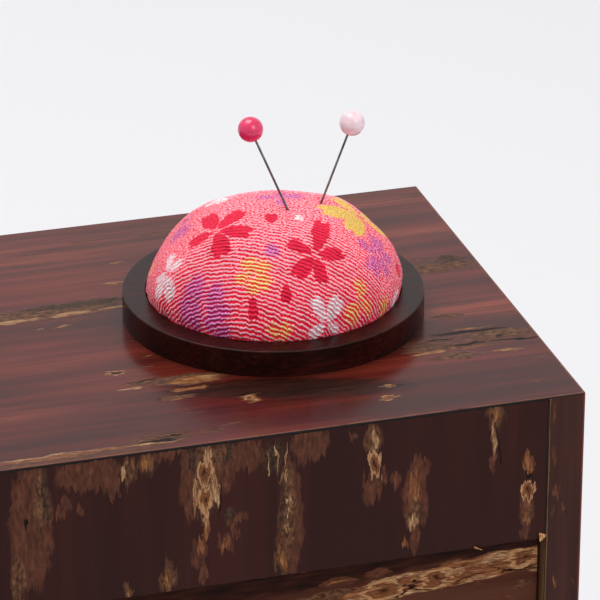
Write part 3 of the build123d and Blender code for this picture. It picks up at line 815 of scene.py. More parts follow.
@dataclass(frozen=True)
class PrintedCrepe:
    """Heavy crepe of twisted rayon, piece-dyed pink and printed with loose blossoms.

    It gives the eye furrows about a millimetre apart in a deeper red, which is painted shade, paler
    crests, which are painted highlight, that break into beads, and a crown where the stretched cloth is
    only pebbled.

    Attributes:
        name: The material's name.
        blossoms: The print.
        furrow: The ground's colour in the furrows, deepened there as painted shade.
        crest: The ground's colour on the crests, paled there as painted highlight.
    """

    name: str
    blossoms: tuple[Blossom, ...] = PRINT
    furrow: str = "#F20832"
    crest: str = "#FFB2C0"

    BEAD = Grain((0.55, 0.42, 0.5), 1.5)
    BEAD_SHARE, RIDGE_SHARE = 2.0, 0.5  # of the beads and of the furrows in what counts as a crest
    CREST_FROM, CREST_TO = 0.27, 0.7  # where that turns from a furrow's colour to a crest's
    BEAD_RELIEF = 0.9  # height of a bead, as a share of a crest's
    BLEED = Grain((1.5, 1.5, 1.5), 2.0)
    BLEED_ACROSS = Grain((1.7, 1.3, 1.9), 2.0)
    BLED = 1.6  # mm that the ink wanders back and forth in the cloth
    GAP = 0.1  # from a blossom's middle to a petal's root, as a share of the petal's length
    # A petal's outline, in halves of its length: an oval, with how much wider it is at the tip and how
    # wide in the middle, less a round bite, with its place, its slope and its depth.
    FLARE, GIRTH = 0.3, 0.92
    BITE, BITE_SLOPE, BITE_DEPTH = (1.05, 0.0, 0.0), -2.6, 1.75

    def material(self) -> bpy.types.Material:
        """Build the material.

        Returns:
            The finished material. It reads two point attributes: "cloth" holds the millimetres along
            and across the cloth and how many furrows it is from the middle, and "crimp" how deep they
            are and how much painted shade low on the cloth gives more of it the furrows' colour.
        """
        material, tree = start(self.name)
        cloth = add(tree, "Attribute", attribute_name="cloth")
        parts = add(tree, "SeparateXYZ", {"Vector": cloth.outputs["Vector"]})
        crimp = add(tree, "Attribute", attribute_name="crimp")
        told = add(tree, "SeparateXYZ", {"Vector": crimp.outputs["Vector"]})
        turned = add(tree, "Math", {0: parts.outputs["Z"], 1: 2 * math.pi}, operation="MULTIPLY")
        wave = add(tree, "Math", {0: turned}, operation="SINE")
        ridge = add(tree, "Math", {0: wave, 1: told.outputs["X"]}, operation="MULTIPLY")
        signal = add(tree, "Math", {0: ridge, 1: told.outputs["Y"]}, operation="SUBTRACT")
        flat = add(tree, "CombineXYZ", {"X": parts.outputs["X"], "Y": parts.outputs["Y"]})
        beads = self.BEAD.over(tree, flat)
        beaded = add(tree, "Math", {0: beads, 1: self.BEAD_SHARE, 2: 0.5 - 0.5 * self.BEAD_SHARE},
                     operation="MULTIPLY_ADD")
        lit = add(tree, "Math", {0: signal, 1: self.RIDGE_SHARE, 2: beaded}, operation="MULTIPLY_ADD")
        # Painted light: the crests take a paler colour as painted highlight, the furrows a deeper red as
        # painted shade.
        crest = add(tree, "MapRange", {
            "Value": lit, "From Min": self.CREST_FROM, "From Max": self.CREST_TO,
        }, **SOFT)
        colour = add(tree, "Mix", {"Factor": crest, "A": self.furrow, "B": self.crest}, data_type="RGBA")

        along = add(tree, "Math", {0: self.BLEED.over(tree, flat), 1: self.BLED, 2: -0.5 * self.BLED},
                    operation="MULTIPLY_ADD")
        across = add(tree, "Math", {
            0: self.BLEED_ACROSS.over(tree, flat), 1: self.BLED, 2: -0.5 * self.BLED,
        }, operation="MULTIPLY_ADD")
        bled = add(tree, "CombineXYZ", {"X": along, "Y": across})
        shifted = add(tree, "VectorMath", {0: flat, 1: bled})
        petal = self._petal()
        for dye in Dye:
            furrow, pale, soft, cover = dye.value
            nearest: Node | None = None
            for blossom in self.blossoms:
                if blossom.dye is dye:
                    for direction, length in blossom.petals:
                        this = self._place(tree, petal, shifted, blossom, direction, length)
                        if nearest is None:
                            nearest = this
                        else:
                            nearest = add(tree, "Math", {0: nearest, 1: this}, operation="MINIMUM")
            if nearest is not None:
                # Like the ground, each ink is deeper in the furrows and paler on the crests, in part as
                # painted shade and highlight.
                print_on = add(tree, "Mix", {"Factor": crest, "A": furrow, "B": pale}, data_type="RGBA")
                mask = add(tree, "MapRange", {"Value": nearest, "From Min": 1 + soft, "From Max": 1 - soft,
                                              "To Max": cover}, **SOFT)
                colour = add(tree, "Mix", {"Factor": mask, "A": colour, "B": print_on}, data_type="RGBA")
        height = add(tree, "Math", {0: beads, 1: self.BEAD_RELIEF, 2: ridge}, operation="MULTIPLY_ADD")
        # To the eye: pale beaded crests over deep red furrows, painted highlight and painted shade, and a
        # faint bloom of fibre.
        return shade(material, {
            "Base Color": colour,
            "Roughness": add(tree, "Math", {0: crest, 1: -0.12, 2: 0.78}, operation="MULTIPLY_ADD"),
            "Normal": add(tree, "Bump", {"Height": height, "Distance": 0.16 * MM, "Strength": 0.8}),
            "Specular IOR Level": 0.28,
            "Sheen Weight": 0.08,
            "Sheen Roughness": 0.45,
            "Sheen Tint": "#FFD9DE",
            "IOR": 1.46,
        })

    def _place(self, tree: Tree, petal: Tree, point: Node, blossom: Blossom, direction: float,
               length: float) -> Node:
        """Add one petal's outline.

        Args:
            tree: The node tree to add to.
            petal: The node group that draws a petal.
            point: The node that gives the place on the cloth in mm.
            blossom: The blossom that the petal belongs to.
            direction: The way the petal points, in degrees.
            length: Its length in mm.

        Returns:
            The node that gives 0 in the petal's middle and 1 on its outline.
        """
        turn = math.radians(direction)
        half = 0.5 * (1 - self.GAP) * length
        out = self.GAP * length + half
        middle = (blossom.middle[0] + out * math.cos(turn), blossom.middle[1] + out * math.sin(turn))
        along, across = project(tree, point, middle, direction, (half, 0.5 * blossom.width * length))
        return add(tree, "Group", {"Along": along, "Across": across}, node_tree=petal)

    def _petal(self) -> Tree:
        """Build the node group that draws a petal: narrow at its root, wide and notched at its tip.

        Returns:
            The node group.
        """
        group = bpy.data.node_groups.new("crepe petal", "ShaderNodeTree")
        for name in ("Along", "Across"):
            group.interface.new_socket(name, in_out="INPUT", socket_type="NodeSocketFloat")
        group.interface.new_socket("Distance", in_out="OUTPUT", socket_type="NodeSocketFloat")
        given = add(group, "NodeGroupInput")
        widen = add(group, "Math", {0: given.outputs["Along"], 1: self.FLARE, 2: self.GIRTH},
                    operation="MULTIPLY_ADD")
        across = add(group, "Math", {0: given.outputs["Across"], 1: widen}, operation="DIVIDE")
        tapered = add(group, "CombineXYZ", {"X": given.outputs["Along"], "Y": across})
        body = add(group, "VectorMath", {0: tapered}, operation="LENGTH")
        from_bite = add(group, "VectorMath", {0: tapered, 1: self.BITE}, operation="SUBTRACT")
        reach = add(group, "VectorMath", {0: from_bite}, operation="LENGTH")
        notch = add(group, "Math", {0: reach, 1: self.BITE_SLOPE, 2: self.BITE_DEPTH},
                    operation="MULTIPLY_ADD")
        outline = add(group, "Math", {0: body, 1: notch}, operation="MAXIMUM")
        add(group, "NodeGroupOutput", {"Distance": outline})
        return group


@dataclass(frozen=True)
class WoolFelt:
    """Pressed wool felt.

    It gives the eye a matt, matted face with no weave.

    Attributes:
        name: The material's name.
        stops: Its colours, from the hollows to the fibres on top.
    """

    name: str
    stops: Stops = ((0.35, "#1E1917"), (0.65, "#3A302B"))

    def material(self) -> bpy.types.Material:
        """Build the material.

        Returns:
            The finished material.
        """
        material, tree = start(self.name)
        point = Lay.TOP.point(tree)
        mat = Grain((1.4, 0.9, 0.9), 4.0, 0.7).over(tree, point)
        # To the eye: a matt mat without a weave, with a little fuzz towards its edge.
        return shade(material, {
            "Base Color": add(tree, "ValToRGB", {"Fac": mat}, stops=self.stops),
            "Roughness": add(tree, "Math", {0: mat, 1: 0.1, 2: 0.88}, operation="MULTIPLY_ADD"),
            "Normal": add(tree, "Bump", {"Height": mat, "Distance": 0.3 * MM, "Strength": 0.7}),
            "Sheen Weight": 0.2,
        })


@dataclass(frozen=True)
class GreyBoard:
    """Pressed grey board, cut to a disc.

    It gives the eye a matt grey with specks of recycled fibre.

    Attributes:
        name: The material's name.
        stops: Its colours, from the dark specks to the pale ones.
    """

    name: str
    stops: Stops = ((0.3, "#6E675E"), (0.55, "#8F877B"), (0.75, "#A69D8E"))

    def material(self) -> bpy.types.Material:
        """Build the material.

        Returns:
            The finished material.
        """
        material, tree = start(self.name)
        point = Lay.TOP.point(tree)
        specks = Grain((0.8, 0.8, 0.8), 3.0, 0.7).over(tree, point)
        # To the eye: dull grey flecked with fibre.
        return shade(material, {
            "Base Color": add(tree, "ValToRGB", {"Fac": specks}, stops=self.stops),
            "Roughness": add(tree, "Math", {0: specks, 1: 0.1, 2: 0.85}, operation="MULTIPLY_ADD"),
            "Normal": add(tree, "Bump", {"Height": specks, "Distance": 0.05 * MM, "Strength": 0.5}),
        })


@dataclass(frozen=True)
class BrushedMetal:
    """A metal that is drawn or brushed along one axis.

    It gives the eye fine streaks in its gloss that run along that axis, and a thin uneven tarnish.

    Attributes:
        name: The material's name.
        lay: Which way the streaks run.
        stops: Its colours, from tarnish to bright.
        roughness: How dull it is on average.
        streak: The streaks' length and width in mm, coarser than the real scratches, so that they show.
    """

    name: str
    lay: Lay
    stops: Stops
    roughness: float
    streak: tuple[float, float]

    GLOSS_PLAY = 0.24  # how much the streaks vary the roughness

    def material(self) -> bpy.types.Material:
        """Build the material.

        Returns:
            The finished material.
        """
        material, tree = start(self.name)
        point = self.lay.point(tree)
        length, width = self.streak
        streaks = Grain((length, width, width), 2.0).over(tree, point)
        tarnish = Grain((3.0, 3.0, 3.0), 3.0).over(tree, point)
        # To the eye: gloss broken into streaks one way and dulled here and there by tarnish.
        return shade(material, {
            "Base Color": add(tree, "ValToRGB", {"Fac": tarnish}, stops=self.stops),
            "Metallic": 1.0,
            "Roughness": add(tree, "Math", {
                0: streaks, 1: self.GLOSS_PLAY, 2: self.roughness - 0.5 * self.GLOSS_PLAY,
            }, operation="MULTIPLY_ADD"),
            "Normal": add(tree, "Bump", {"Height": streaks, "Distance": 0.02 * MM, "Strength": 0.5}),
        })


@dataclass(frozen=True)
class PearlCoating:
    """A glass bead dipped in pearl essence.

    It gives the eye a soft bloom with a small sharp highlight and faintly cloudy colour.

    Attributes:
        name: The material's name.
        stops: The clouds' colours.
        coat: How strong the clear top layer is.
    """

    name: str
    stops: Stops
    coat: float = 0.6

    def material(self) -> bpy.types.Material:
        """Build the material.

        Returns:
            The finished material.
        """
        material, tree = start(self.name)
        point = Lay.TOP.point(tree)
        clouds = Grain((2.2, 2.2, 1.2), 2.0).over(tree, point)
        # To the eye: light that sinks in and glows, under one small sharp highlight.
        return shade(material, {
            "Base Color": add(tree, "ValToRGB", {"Fac": clouds}, stops=self.stops),
            "Roughness": add(tree, "Math", {0: clouds, 1: 0.12, 2: 0.26}, operation="MULTIPLY_ADD"),
            "Normal": add(tree, "Bump", {"Height": clouds, "Distance": 0.01 * MM, "Strength": 0.3}),
            "Coat Weight": self.coat,
            "Coat Roughness": 0.06,
            "Subsurface Weight": 0.15,
            "Subsurface Radius": (1.0, 0.6, 0.5),
            "Subsurface Scale": 0.8 * MM,
            "IOR": 1.5,
        })


@dataclass(frozen=True)
class InnerBark:
    """The inner bark of the cherry tree, torn.

    It gives the eye pale matt fibres beside the polished skin.

    Attributes:
        name: The material's name.
        stops: Its colours, from between the fibres to their crests.
    """

    name: str
    stops: Stops = ((0.35, "#7A4526"), (0.5, "#AD7648"), (0.65, "#D6AC80"))

    def material(self) -> bpy.types.Material:
        """Build the material.

        Returns:
            The finished material.
        """
        material, tree = start(self.name)
        fibres = Grain((1.2, 0.3, 1.0), 3.0, 0.6).over(tree, Lay.FRONT_UPRIGHT.point(tree))
        # To the eye: pale dry fibres that catch the light at the dark panel's edge.
        return shade(material, {
            "Base Color": add(tree, "ValToRGB", {"Fac": fibres}, stops=self.stops),
            "Roughness": add(tree, "Math", {0: fibres, 1: 0.1, 2: 0.7}, operation="MULTIPLY_ADD"),
            "Normal": add(tree, "Bump", {"Height": fibres, "Distance": 0.08 * MM, "Strength": 0.6}),
            "Specular IOR Level": 0.3,
            "IOR": 1.5,
        })


@dataclass(frozen=True)
class PhotographicPaper:
    """A seamless sheet of pale paper.

    It gives the eye an even near-white that keeps the object's shadow. Mirrors see it as pale as the
    camera does.

    Attributes:
        name: The material's name.
        colour: Its colour.
    """

    name: str
    colour: str = "#EAEAEC"

    def material(self) -> bpy.types.Material:
        """Build the material.

        Returns:
            The finished material.
        """
        material, tree = start(self.name)
        # To the eye: an even near-white without gloss, on which only the shadow shows.
        return shade(material, {"Base Color": self.colour, "Roughness": 0.9, "Specular IOR Level": 0.1})


# The marks on the board under the top: along is upwards and across rightwards.
FASCIA_SCARS = (
    Scar(Mark.RUSSET, 171.0, -5.4, 15.5, 5.0),
    Scar(Mark.RUSSET, 182.0, 7.8, 4.2, 7.4),
    Scar(Mark.RUSSET, 174.3, 2.1, 2.4, 1.7),
    Scar(Mark.RUSSET, 173.6, 5.6, 1.9, 1.0),
    Scar(Mark.RUSSET, 178.0, 13.6, 3.0, 1.6),
    Scar(Mark.RUSSET, 184.6, 26.0, 1.4, 4.5),
    Scar(Mark.RUSSET, 176.0, 31.2, 9.0, 2.8),
    Scar(Mark.RUSSET, 179.0, 39.0, 6.6, 2.4),
    Scar(Mark.RUSSET, 181.8, 43.4, 4.0, 5.0),
    Scar(Mark.RUSSET, 159.0, 33.0, 3.8, 2.2),
    Scar(Mark.RUSSET, 153.0, 34.1, 2.6, 0.8),
    Scar(Mark.RUSSET, 166.4, 42.1, 1.3, 2.4, -24.0),
    Scar(Mark.RUSSET, 160.4, 39.2, 2.4, 2.0),
    Scar(Mark.RUSSET, 163.4, 41.0, 3.0, 0.7, -30.0),
    Scar(Mark.RUSSET, 181.8, 59.0, 4.4, 4.6),
    Scar(Mark.RUSSET, 163.6, 54.4, 14.5, 3.1),
    Scar(Mark.RUSSET, 169.2, 73.7, 3.7, 2.4),
    Scar(Mark.RUSSET, 171.6, 77.0, 2.6, 0.9),
    Scar(Mark.RUSSET, 182.7, 69.5, 0.9, 0.8),
    Scar(Mark.RUSSET, 165.8, 83.9, 8.6, 2.9),
    Scar(Mark.RUSSET, 170.1, 79.5, 1.6, 1.0),
    Scar(Mark.RUSSET, 171.6, 85.0, 3.6, 2.6),
    Scar(Mark.RUSSET, 163.0, 85.4, 6.0, 2.0),
    Scar(Mark.RUSSET, 153.8, 84.0, 3.2, 1.2),
    Scar(Mark.RUSSET, 171.6, 102.8, 2.0, 0.6),
    Scar(Mark.RUSSET, 157.2, 111.3, 4.6, 1.8),
    Scar(Mark.RUSSET, 152.1, 111.0, 2.2, 1.3),
    Scar(Mark.TAN, 169.4, 111.2, 3.2, 1.5),
    Scar(Mark.TAN, 157.4, 111.3, 3.8, 1.1),
    Scar(Mark.TAN, 160.4, 33.4, 2.0, 1.0),
    Scar(Mark.TAN, 160.0, 39.2, 1.7, 1.2),
    Scar(Mark.TAN, 164.4, 34.7, 2.8, 0.8),
    Scar(Mark.TAN, 166.0, 83.6, 6.0, 1.4),
    Scar(Mark.OCHRE, 177.6, -3.6, 8.4, 1.7),
    Scar(Mark.OCHRE, 158.4, -8.8, 6.0, 1.9),
    Scar(Mark.OCHRE, 181.6, 16.9, 4.4, 2.1, 0.0, True),
    Scar(Mark.OCHRE, 182.8, 21.2, 3.0, 2.3),
    Scar(Mark.OCHRE, 182.8, 35.8, 3.6, 4.2),
    Scar(Mark.OCHRE, 175.6, 34.8, 8.0, 2.8),
    Scar(Mark.OCHRE, 153.4, 25.5, 5.4, 2.6, 0.0, True),
    Scar(Mark.OCHRE, 151.4, 16.4, 2.8, 1.4, 0.0, True),
    Scar(Mark.OCHRE, 166.0, 54.2, 12.0, 1.6),
    Scar(Mark.OCHRE, 153.4, 52.7, 4.4, 2.4, 0.0, True),
    Scar(Mark.OCHRE, 182.2, 73.9, 3.8, 2.2),
    Scar(Mark.OCHRE, 183.6, 103.1, 5.6, 2.5, 0.0, True),
    Scar(Mark.OCHRE, 160.8, 83.7, 3.6, 1.7),
    Scar(Mark.OCHRE, 157.0, 111.5, 1.8, 1.0),
    Scar(Mark.MOSS, 178.4, -1.9, 7.0, 0.7),
    Scar(Mark.MOSS, 182.4, 31.4, 3.0, 0.8),
    Scar(Mark.MOSS, 182.6, 40.4, 2.4, 0.7),
    Scar(Mark.MOSS, 167.4, 40.2, 1.4, 1.4),
    Scar(Mark.MOSS, 180.6, 50.4, 4.0, 2.4),
    Scar(Mark.MOSS, 167.0, 52.2, 8.0, 0.5),
    Scar(Mark.MOSS, 151.8, 52.3, 1.0, 1.1),
    Scar(Mark.GOLD, 182.6, 21.0, 1.9, 1.2),
    Scar(Mark.GOLD, 153.4, 25.4, 2.6, 1.1, 0.0, True),
    Scar(Mark.GOLD, 153.8, 52.9, 2.4, 1.1),
    Scar(Mark.GOLD, 183.0, 103.2, 2.6, 1.2, 0.0, True),
    Scar(Mark.GOLD, 153.4, 81.9, 1.2, 0.6),
    Scar(Mark.CREAM, 181.0, 15.8, 3.0, 0.5),
    Scar(Mark.CREAM, 183.0, 35.2, 2.2, 1.0),
    Scar(Mark.CREAM, 173.4, 32.3, 5.0, 0.55, 3.0),
    Scar(Mark.CREAM, 174.6, 36.9, 6.0, 0.6, -4.0),
    Scar(Mark.CREAM, 167.2, 34.7, 2.6, 1.0, 0.0, True),
    Scar(Mark.CREAM, 180.8, 51.0, 3.2, 0.22),
    Scar(Mark.CREAM, 180.5, 53.4, 3.4, 0.22),
    Scar(Mark.CREAM, 179.2, 49.2, 2.4, 0.16),
    Scar(Mark.CREAM, 174.8, 53.2, 1.6, 0.35, 48.0),
    Scar(Mark.CREAM, 174.3, 53.0, 0.4, 1.4, 12.0),
    Scar(Mark.CREAM, 168.8, 53.9, 0.5, 0.8),
    Scar(Mark.CREAM, 166.5, 53.9, 0.45, 0.6),
    Scar(Mark.CREAM, 163.8, 53.6, 0.45, 0.4),
    Scar(Mark.CREAM, 161.0, 53.2, 0.5, 0.9),
    Scar(Mark.CREAM, 182.0, 74.4, 2.6, 0.7),
    Scar(Mark.CREAM, 171.4, 76.0, 1.0, 0.3),
    Scar(Mark.CREAM, 158.9, 83.7, 1.8, 1.0),
    Scar(Mark.CREAM, 176.8, 102.9, 4.2, 0.9, 0.0, True),
    Scar(Mark.EYE, 178.4, 34.7, 3.0, 1.7),
    Scar(Mark.EYE, 171.5, 34.7, 3.4, 1.8),
    Scar(Mark.EYE, 175.1, 74.5, 3.9, 1.4),
    Scar(Mark.EYE, 162.4, 111.7, 2.5, 1.7),
    Scar(Mark.CRACK, 171.6, -6.8, 1.1, 0.4),
    Scar(Mark.CRACK, 166.6, 111.4, 0.6, 1.2, 20.0),
    Scar(Mark.CRACK, 171.0, 37.9, 4.0, 0.2),
    Scar(Mark.CRACK, 174.6, 104.1, 4.0, 0.2, -6.0),
    Scar(Mark.CRACK, 172.6, 75.7, 1.6, 0.2),
    # The left half, which goes on in the same way.
    Scar(Mark.RUSSET, 171.0, -107.0, 6.0, 2.4),
    Scar(Mark.RUSSET, 160.0, -88.0, 9.0, 3.0),
    Scar(Mark.RUSSET, 173.0, -66.0, 4.6, 5.2),
    Scar(Mark.RUSSET, 156.0, -61.0, 5.0, 2.0),
    Scar(Mark.RUSSET, 165.0, -38.0, 10.0, 3.4),
    Scar(Mark.OCHRE, 171.6, -90.0, 5.0, 2.0),
    Scar(Mark.OCHRE, 166.0, -37.6, 6.0, 1.6),
    Scar(Mark.OCHRE, 152.4, -104.0, 4.6, 2.0, 0.0, True),
    Scar(Mark.OCHRE, 173.4, -22.0, 4.0, 1.8, 0.0, True),
    Scar(Mark.CREAM, 160.0, -88.4, 4.0, 0.6),
    Scar(Mark.CREAM, 171.4, -65.0, 3.0, 0.7),
    Scar(Mark.EYE, 165.6, -89.6, 3.0, 1.7),
    Scar(Mark.CRACK, 158.6, -39.0, 2.6, 0.3),
)

# The marks on the top, which run on over the lid: along is rightwards and across backwards.
TOP_SCARS = (
    # Brick red patches at the far left and the right back: redder bark with painted sheen.
    Scar(Mark.BLUSH_AND_SHEEN, -16.0, 50.0, 76.0, 12.0),
    Scar(Mark.BLUSH_AND_SHEEN, -60.0, 28.0, 60.0, 5.0),
    Scar(Mark.BLUSH_AND_SHEEN, -30.0, -36.0, 40.0, 4.0),
    Scar(Mark.BLUSH_AND_SHEEN, 112.0, 57.0, 18.0, 4.0),
    Scar(Mark.BLUSH_AND_SHEEN, 116.0, -12.0, 22.0, 6.0),
    Scar(Mark.BLUSH_AND_SHEEN, 112.0, 34.0, 20.0, 3.0),
    # Painted shade in front of the cup: its contact shadow and the dark reflection of its side.
    Scar(Mark.PAINTED_SHADE, 60.0, -41.0, 27.0, 5.5, -14.0),
    Scar(Mark.RUSSET, 4.0, -60.4, 26.0, 2.2, 1.0),
    Scar(Mark.RUSSET, 26.0, -57.6, 8.0, 2.8, 2.0),
    Scar(Mark.RUSSET, 36.2, -46.7, 3.0, 0.4),
    Scar(Mark.RUSSET, 42.9, -55.0, 3.2, 0.5, 4.0),
    Scar(Mark.RUSSET, 37.6, -56.9, 3.0, 1.3),
    Scar(Mark.RUSSET, 31.0, -20.6, 2.8, 0.6),
    Scar(Mark.RUSSET, 109.0, -28.2, 17.0, 3.8, -2.0),
    Scar(Mark.RUSSET, 107.5, -14.6, 4.4, 1.3),
    Scar(Mark.RUSSET, 114.0, 13.0, 10.0, 3.2, 3.0),
    Scar(Mark.RUSSET, 115.5, -44.4, 2.2, 0.3),
    Scar(Mark.RUSSET, 117.3, -53.8, 2.6, 0.3),
    Scar(Mark.RUSSET, 62.0, 52.0, 14.0, 1.4),
    Scar(Mark.TAN, 2.0, -59.4, 18.0, 0.8, 1.0),
    Scar(Mark.TAN, 14.0, 12.4, 21.0, 1.5, 1.0),
    Scar(Mark.TAN, 103.0, -31.8, 10.0, 0.7, -3.0),
    Scar(Mark.TAN, 117.0, -26.6, 7.0, 0.7, -3.0),
    Scar(Mark.TAN, 111.0, -22.2, 5.0, 0.5, -2.0),
    Scar(Mark.OCHRE, 13.0, 14.4, 24.0, 3.4, 1.0),
    Scar(Mark.OCHRE, -15.0, 12.6, 13.0, 2.4, 1.0),
    Scar(Mark.OCHRE, 39.6, -30.0, 9.0, 2.5),
    Scar(Mark.OCHRE, 29.6, -28.2, 4.6, 0.9),
    Scar(Mark.OCHRE, 25.8, -57.3, 5.8, 1.6, 2.0),
    Scar(Mark.OCHRE, 101.0, -30.6, 9.0, 1.8, -2.0),
    Scar(Mark.OCHRE, 117.0, -27.0, 8.0, 2.0, -4.0),
    Scar(Mark.OCHRE, 107.2, -14.4, 3.0, 0.9),
    Scar(Mark.OCHRE, 114.5, 13.0, 8.5, 2.6, 4.0),
    Scar(Mark.OCHRE, -70.0, -20.0, 20.0, 2.2, 3.0),
    Scar(Mark.OCHRE, -96.0, 41.0, 15.0, 1.7, -2.0),
    Scar(Mark.MOSS, 24.0, 17.2, 13.0, 1.7, 1.0),
    Scar(Mark.MOSS, 118.3, 17.0, 3.4, 2.2),
    Scar(Mark.MOSS, -66.0, -17.8, 9.0, 0.9, 3.0),
    Scar(Mark.AMBER, 39.7, 37.9, 1.8, 0.6),
    Scar(Mark.AMBER, 35.9, 26.4, 1.8, 0.6),
    Scar(Mark.AMBER, 11.9, 6.0, 1.0, 0.4),
    Scar(Mark.AMBER, 18.7, 6.0, 1.5, 0.5),
    Scar(Mark.AMBER, 41.2, -30.3, 6.4, 1.8),
    Scar(Mark.AMBER, 38.7, -34.8, 4.8, 0.6),
    Scar(Mark.AMBER, 36.0, -39.2, 2.2, 0.25),
    Scar(Mark.AMBER, 50.9, -43.6, 1.9, 2.1),
    Scar(Mark.AMBER, 115.4, -36.1, 3.4, 0.7),
    Scar(Mark.AMBER, 97.0, -32.6, 4.0, 0.6),
    Scar(Mark.CREAM, 8.0, 11.8, 6.0, 0.9, 1.0),
    Scar(Mark.CREAM, 22.0, 12.6, 5.0, 0.9, 1.0),
    Scar(Mark.CREAM, 32.0, 13.2, 3.0, 0.6, 1.0),
    Scar(Mark.CREAM, 25.7, -31.0, 2.4, 0.5),
    Scar(Mark.CREAM, 44.4, -30.2, 2.6, 0.6),
    Scar(Mark.CREAM, 24.4, -59.2, 5.0, 0.4, 2.0),
    Scar(Mark.CREAM, -1.0, -58.6, 10.0, 0.4, 1.0),
    Scar(Mark.CREAM, -64.0, -20.4, 9.0, 0.7, 3.0),
    Scar(Mark.EYE, 50.7, -43.5, 1.2, 1.4),
    Scar(Mark.EYE, 82.7, -46.6, 1.5, 1.1),
    Scar(Mark.EYE, 80.8, -52.5, 1.7, 1.3),
    Scar(Mark.EYE, 24.1, -22.1, 1.5, 1.2),
    Scar(Mark.CRACK, 24.3, -22.1, 0.9, 0.4),
    Scar(Mark.CRACK, 25.0, -58.3, 4.4, 0.4, 2.0),
    Scar(Mark.CRACK, 27.4, -57.0, 2.8, 0.25, 2.0),
    Scar(Mark.CRACK, 30.3, -27.8, 3.0, 0.25, 2.0),
    Scar(Mark.CRACK, 38.4, -56.4, 0.8, 0.4),
    Scar(Mark.CRACK, 109.8, -24.3, 9.4, 0.75, -1.0),
    Scar(Mark.CRACK, 118.8, -31.1, 5.6, 0.6, -7.0),
    Scar(Mark.CRACK, 107.6, -30.5, 4.8, 0.4),
    Scar(Mark.CRACK, 101.0, -26.6, 3.0, 0.4),
    Scar(Mark.CRACK, 116.6, -28.2, 1.6, 0.4, 20.0),
)

# The marks on the top drawer's front: along is rightwards and across upwards.
TOP_DRAWER_SCARS = (
    # Painted shadow of the front panel on the recessed drawer, over bark that is also darker there.
    Scar(Mark.PAINTED_SHADE, 60.0, 148.2, 160.0, 5.0, 2.6),
    Scar(Mark.RUSSET, 66.4, 144.1, 4.4, 1.1, 3.0),
    Scar(Mark.RUSSET, 76.5, 145.0, 3.0, 1.1, 3.0),
    Scar(Mark.TAN, 94.0, 141.7, 36.0, 3.2, 5.4),
    Scar(Mark.TAN, 48.0, 137.4, 36.0, 2.6, 5.0),
    Scar(Mark.TAN, 2.0, 134.0, 22.0, 1.8, 4.0),
    Scar(Mark.OCHRE, 112.4, 136.5, 2.4, 1.3),
    Scar(Mark.OCHRE, 60.0, 140.4, 12.0, 1.2, 5.0),
    Scar(Mark.GOLD, 66.4, 144.0, 2.0, 0.4, 3.0),
    Scar(Mark.CREAM, 105.0, 144.6, 4.8, 0.8, 11.0),
    Scar(Mark.CREAM, 100.4, 139.6, 5.6, 0.5, 10.0),
    Scar(Mark.CREAM, 82.0, 143.0, 9.0, 0.5, 5.0),
    Scar(Mark.CREAM, 84.0, 138.4, 9.0, 0.5, 4.0),
    Scar(Mark.CREAM, 96.4, 142.8, 2.0, 0.8),
    Scar(Mark.CREAM, 70.4, 138.4, 3.4, 0.6, 5.0),
    Scar(Mark.CREAM, 56.0, 138.8, 8.0, 0.6, 5.0),
    Scar(Mark.EYE, 77.5, 140.2, 4.3, 2.5, 5.0),
    Scar(Mark.EYE, 90.6, 141.3, 3.9, 3.0, 5.0),
    Scar(Mark.EYE, 112.1, 143.5, 4.0, 2.6, 8.0),
    Scar(Mark.EYE, 58.6, 137.6, 3.6, 2.0, 5.0),
    Scar(Mark.CRACK, 83.8, 140.0, 3.8, 0.3, 38.0),
    Scar(Mark.CRACK, 84.6, 139.7, 4.2, 0.3, -20.0),
    Scar(Mark.CRACK, 97.0, 140.4, 5.4, 0.16, 8.0),
    Scar(Mark.CRACK, 106.6, 141.4, 2.4, 0.2, -38.0),
    Scar(Mark.CRACK, 111.6, 140.9, 4.4, 0.2, 3.0),
)

# The marks on the right side's front edge: along is upwards and across rightwards.
STILE_SCARS = (
    Scar(Mark.RUSSET, 181.0, 117.7, 1.8, 0.6),
    Scar(Mark.RUSSET, 170.7, 117.9, 2.6, 0.6),
    Scar(Mark.RUSSET, 161.4, 118.6, 1.8, 1.2),
    Scar(Mark.RUSSET, 156.0, 117.6, 1.4, 0.5),
    Scar(Mark.TAN, 137.6, 119.0, 1.3, 0.6),
    Scar(Mark.RUSSET, 100.0, 120.5, 12.0, 1.6),
    Scar(Mark.OCHRE, 61.0, 120.0, 6.0, 1.5, 0.0, True),
)

# The grounds of the polished top, of the narrow front edges, and of the sides and the back.
POLISHED: Stops = ((0.4, "#39110C"), (0.47, "#471610"), (0.54, "#571C14"), (0.62, "#6C281C"))
STILE: Stops = ((0.4, "#2B1612"), (0.5, "#371D18"), (0.6, "#46261F"))
SIDE: Stops = ((0.4, "#2C110D"), (0.47, "#411A13"), (0.53, "#532118"), (0.62, "#6E3224"))


@dataclass
class Dresser:
    """Lays finishes on CAD nodes.

    Attributes:
        nodes: The CAD nodes by name.
    """

    nodes: dict[str, bpy.types.Object]

    def dress(self, finish: Any, *names: str) -> None:
        """Give CAD nodes one finish.

        Args:
            finish: The finish, which makes its own material.
            *names: The nodes that it goes on.
        """
        material = finish.material()
        for name in names:
            mesh = self.nodes[name].data
            mesh.materials.clear()
            mesh.materials.append(material)
            log.info("%s: %s", name, material.name)


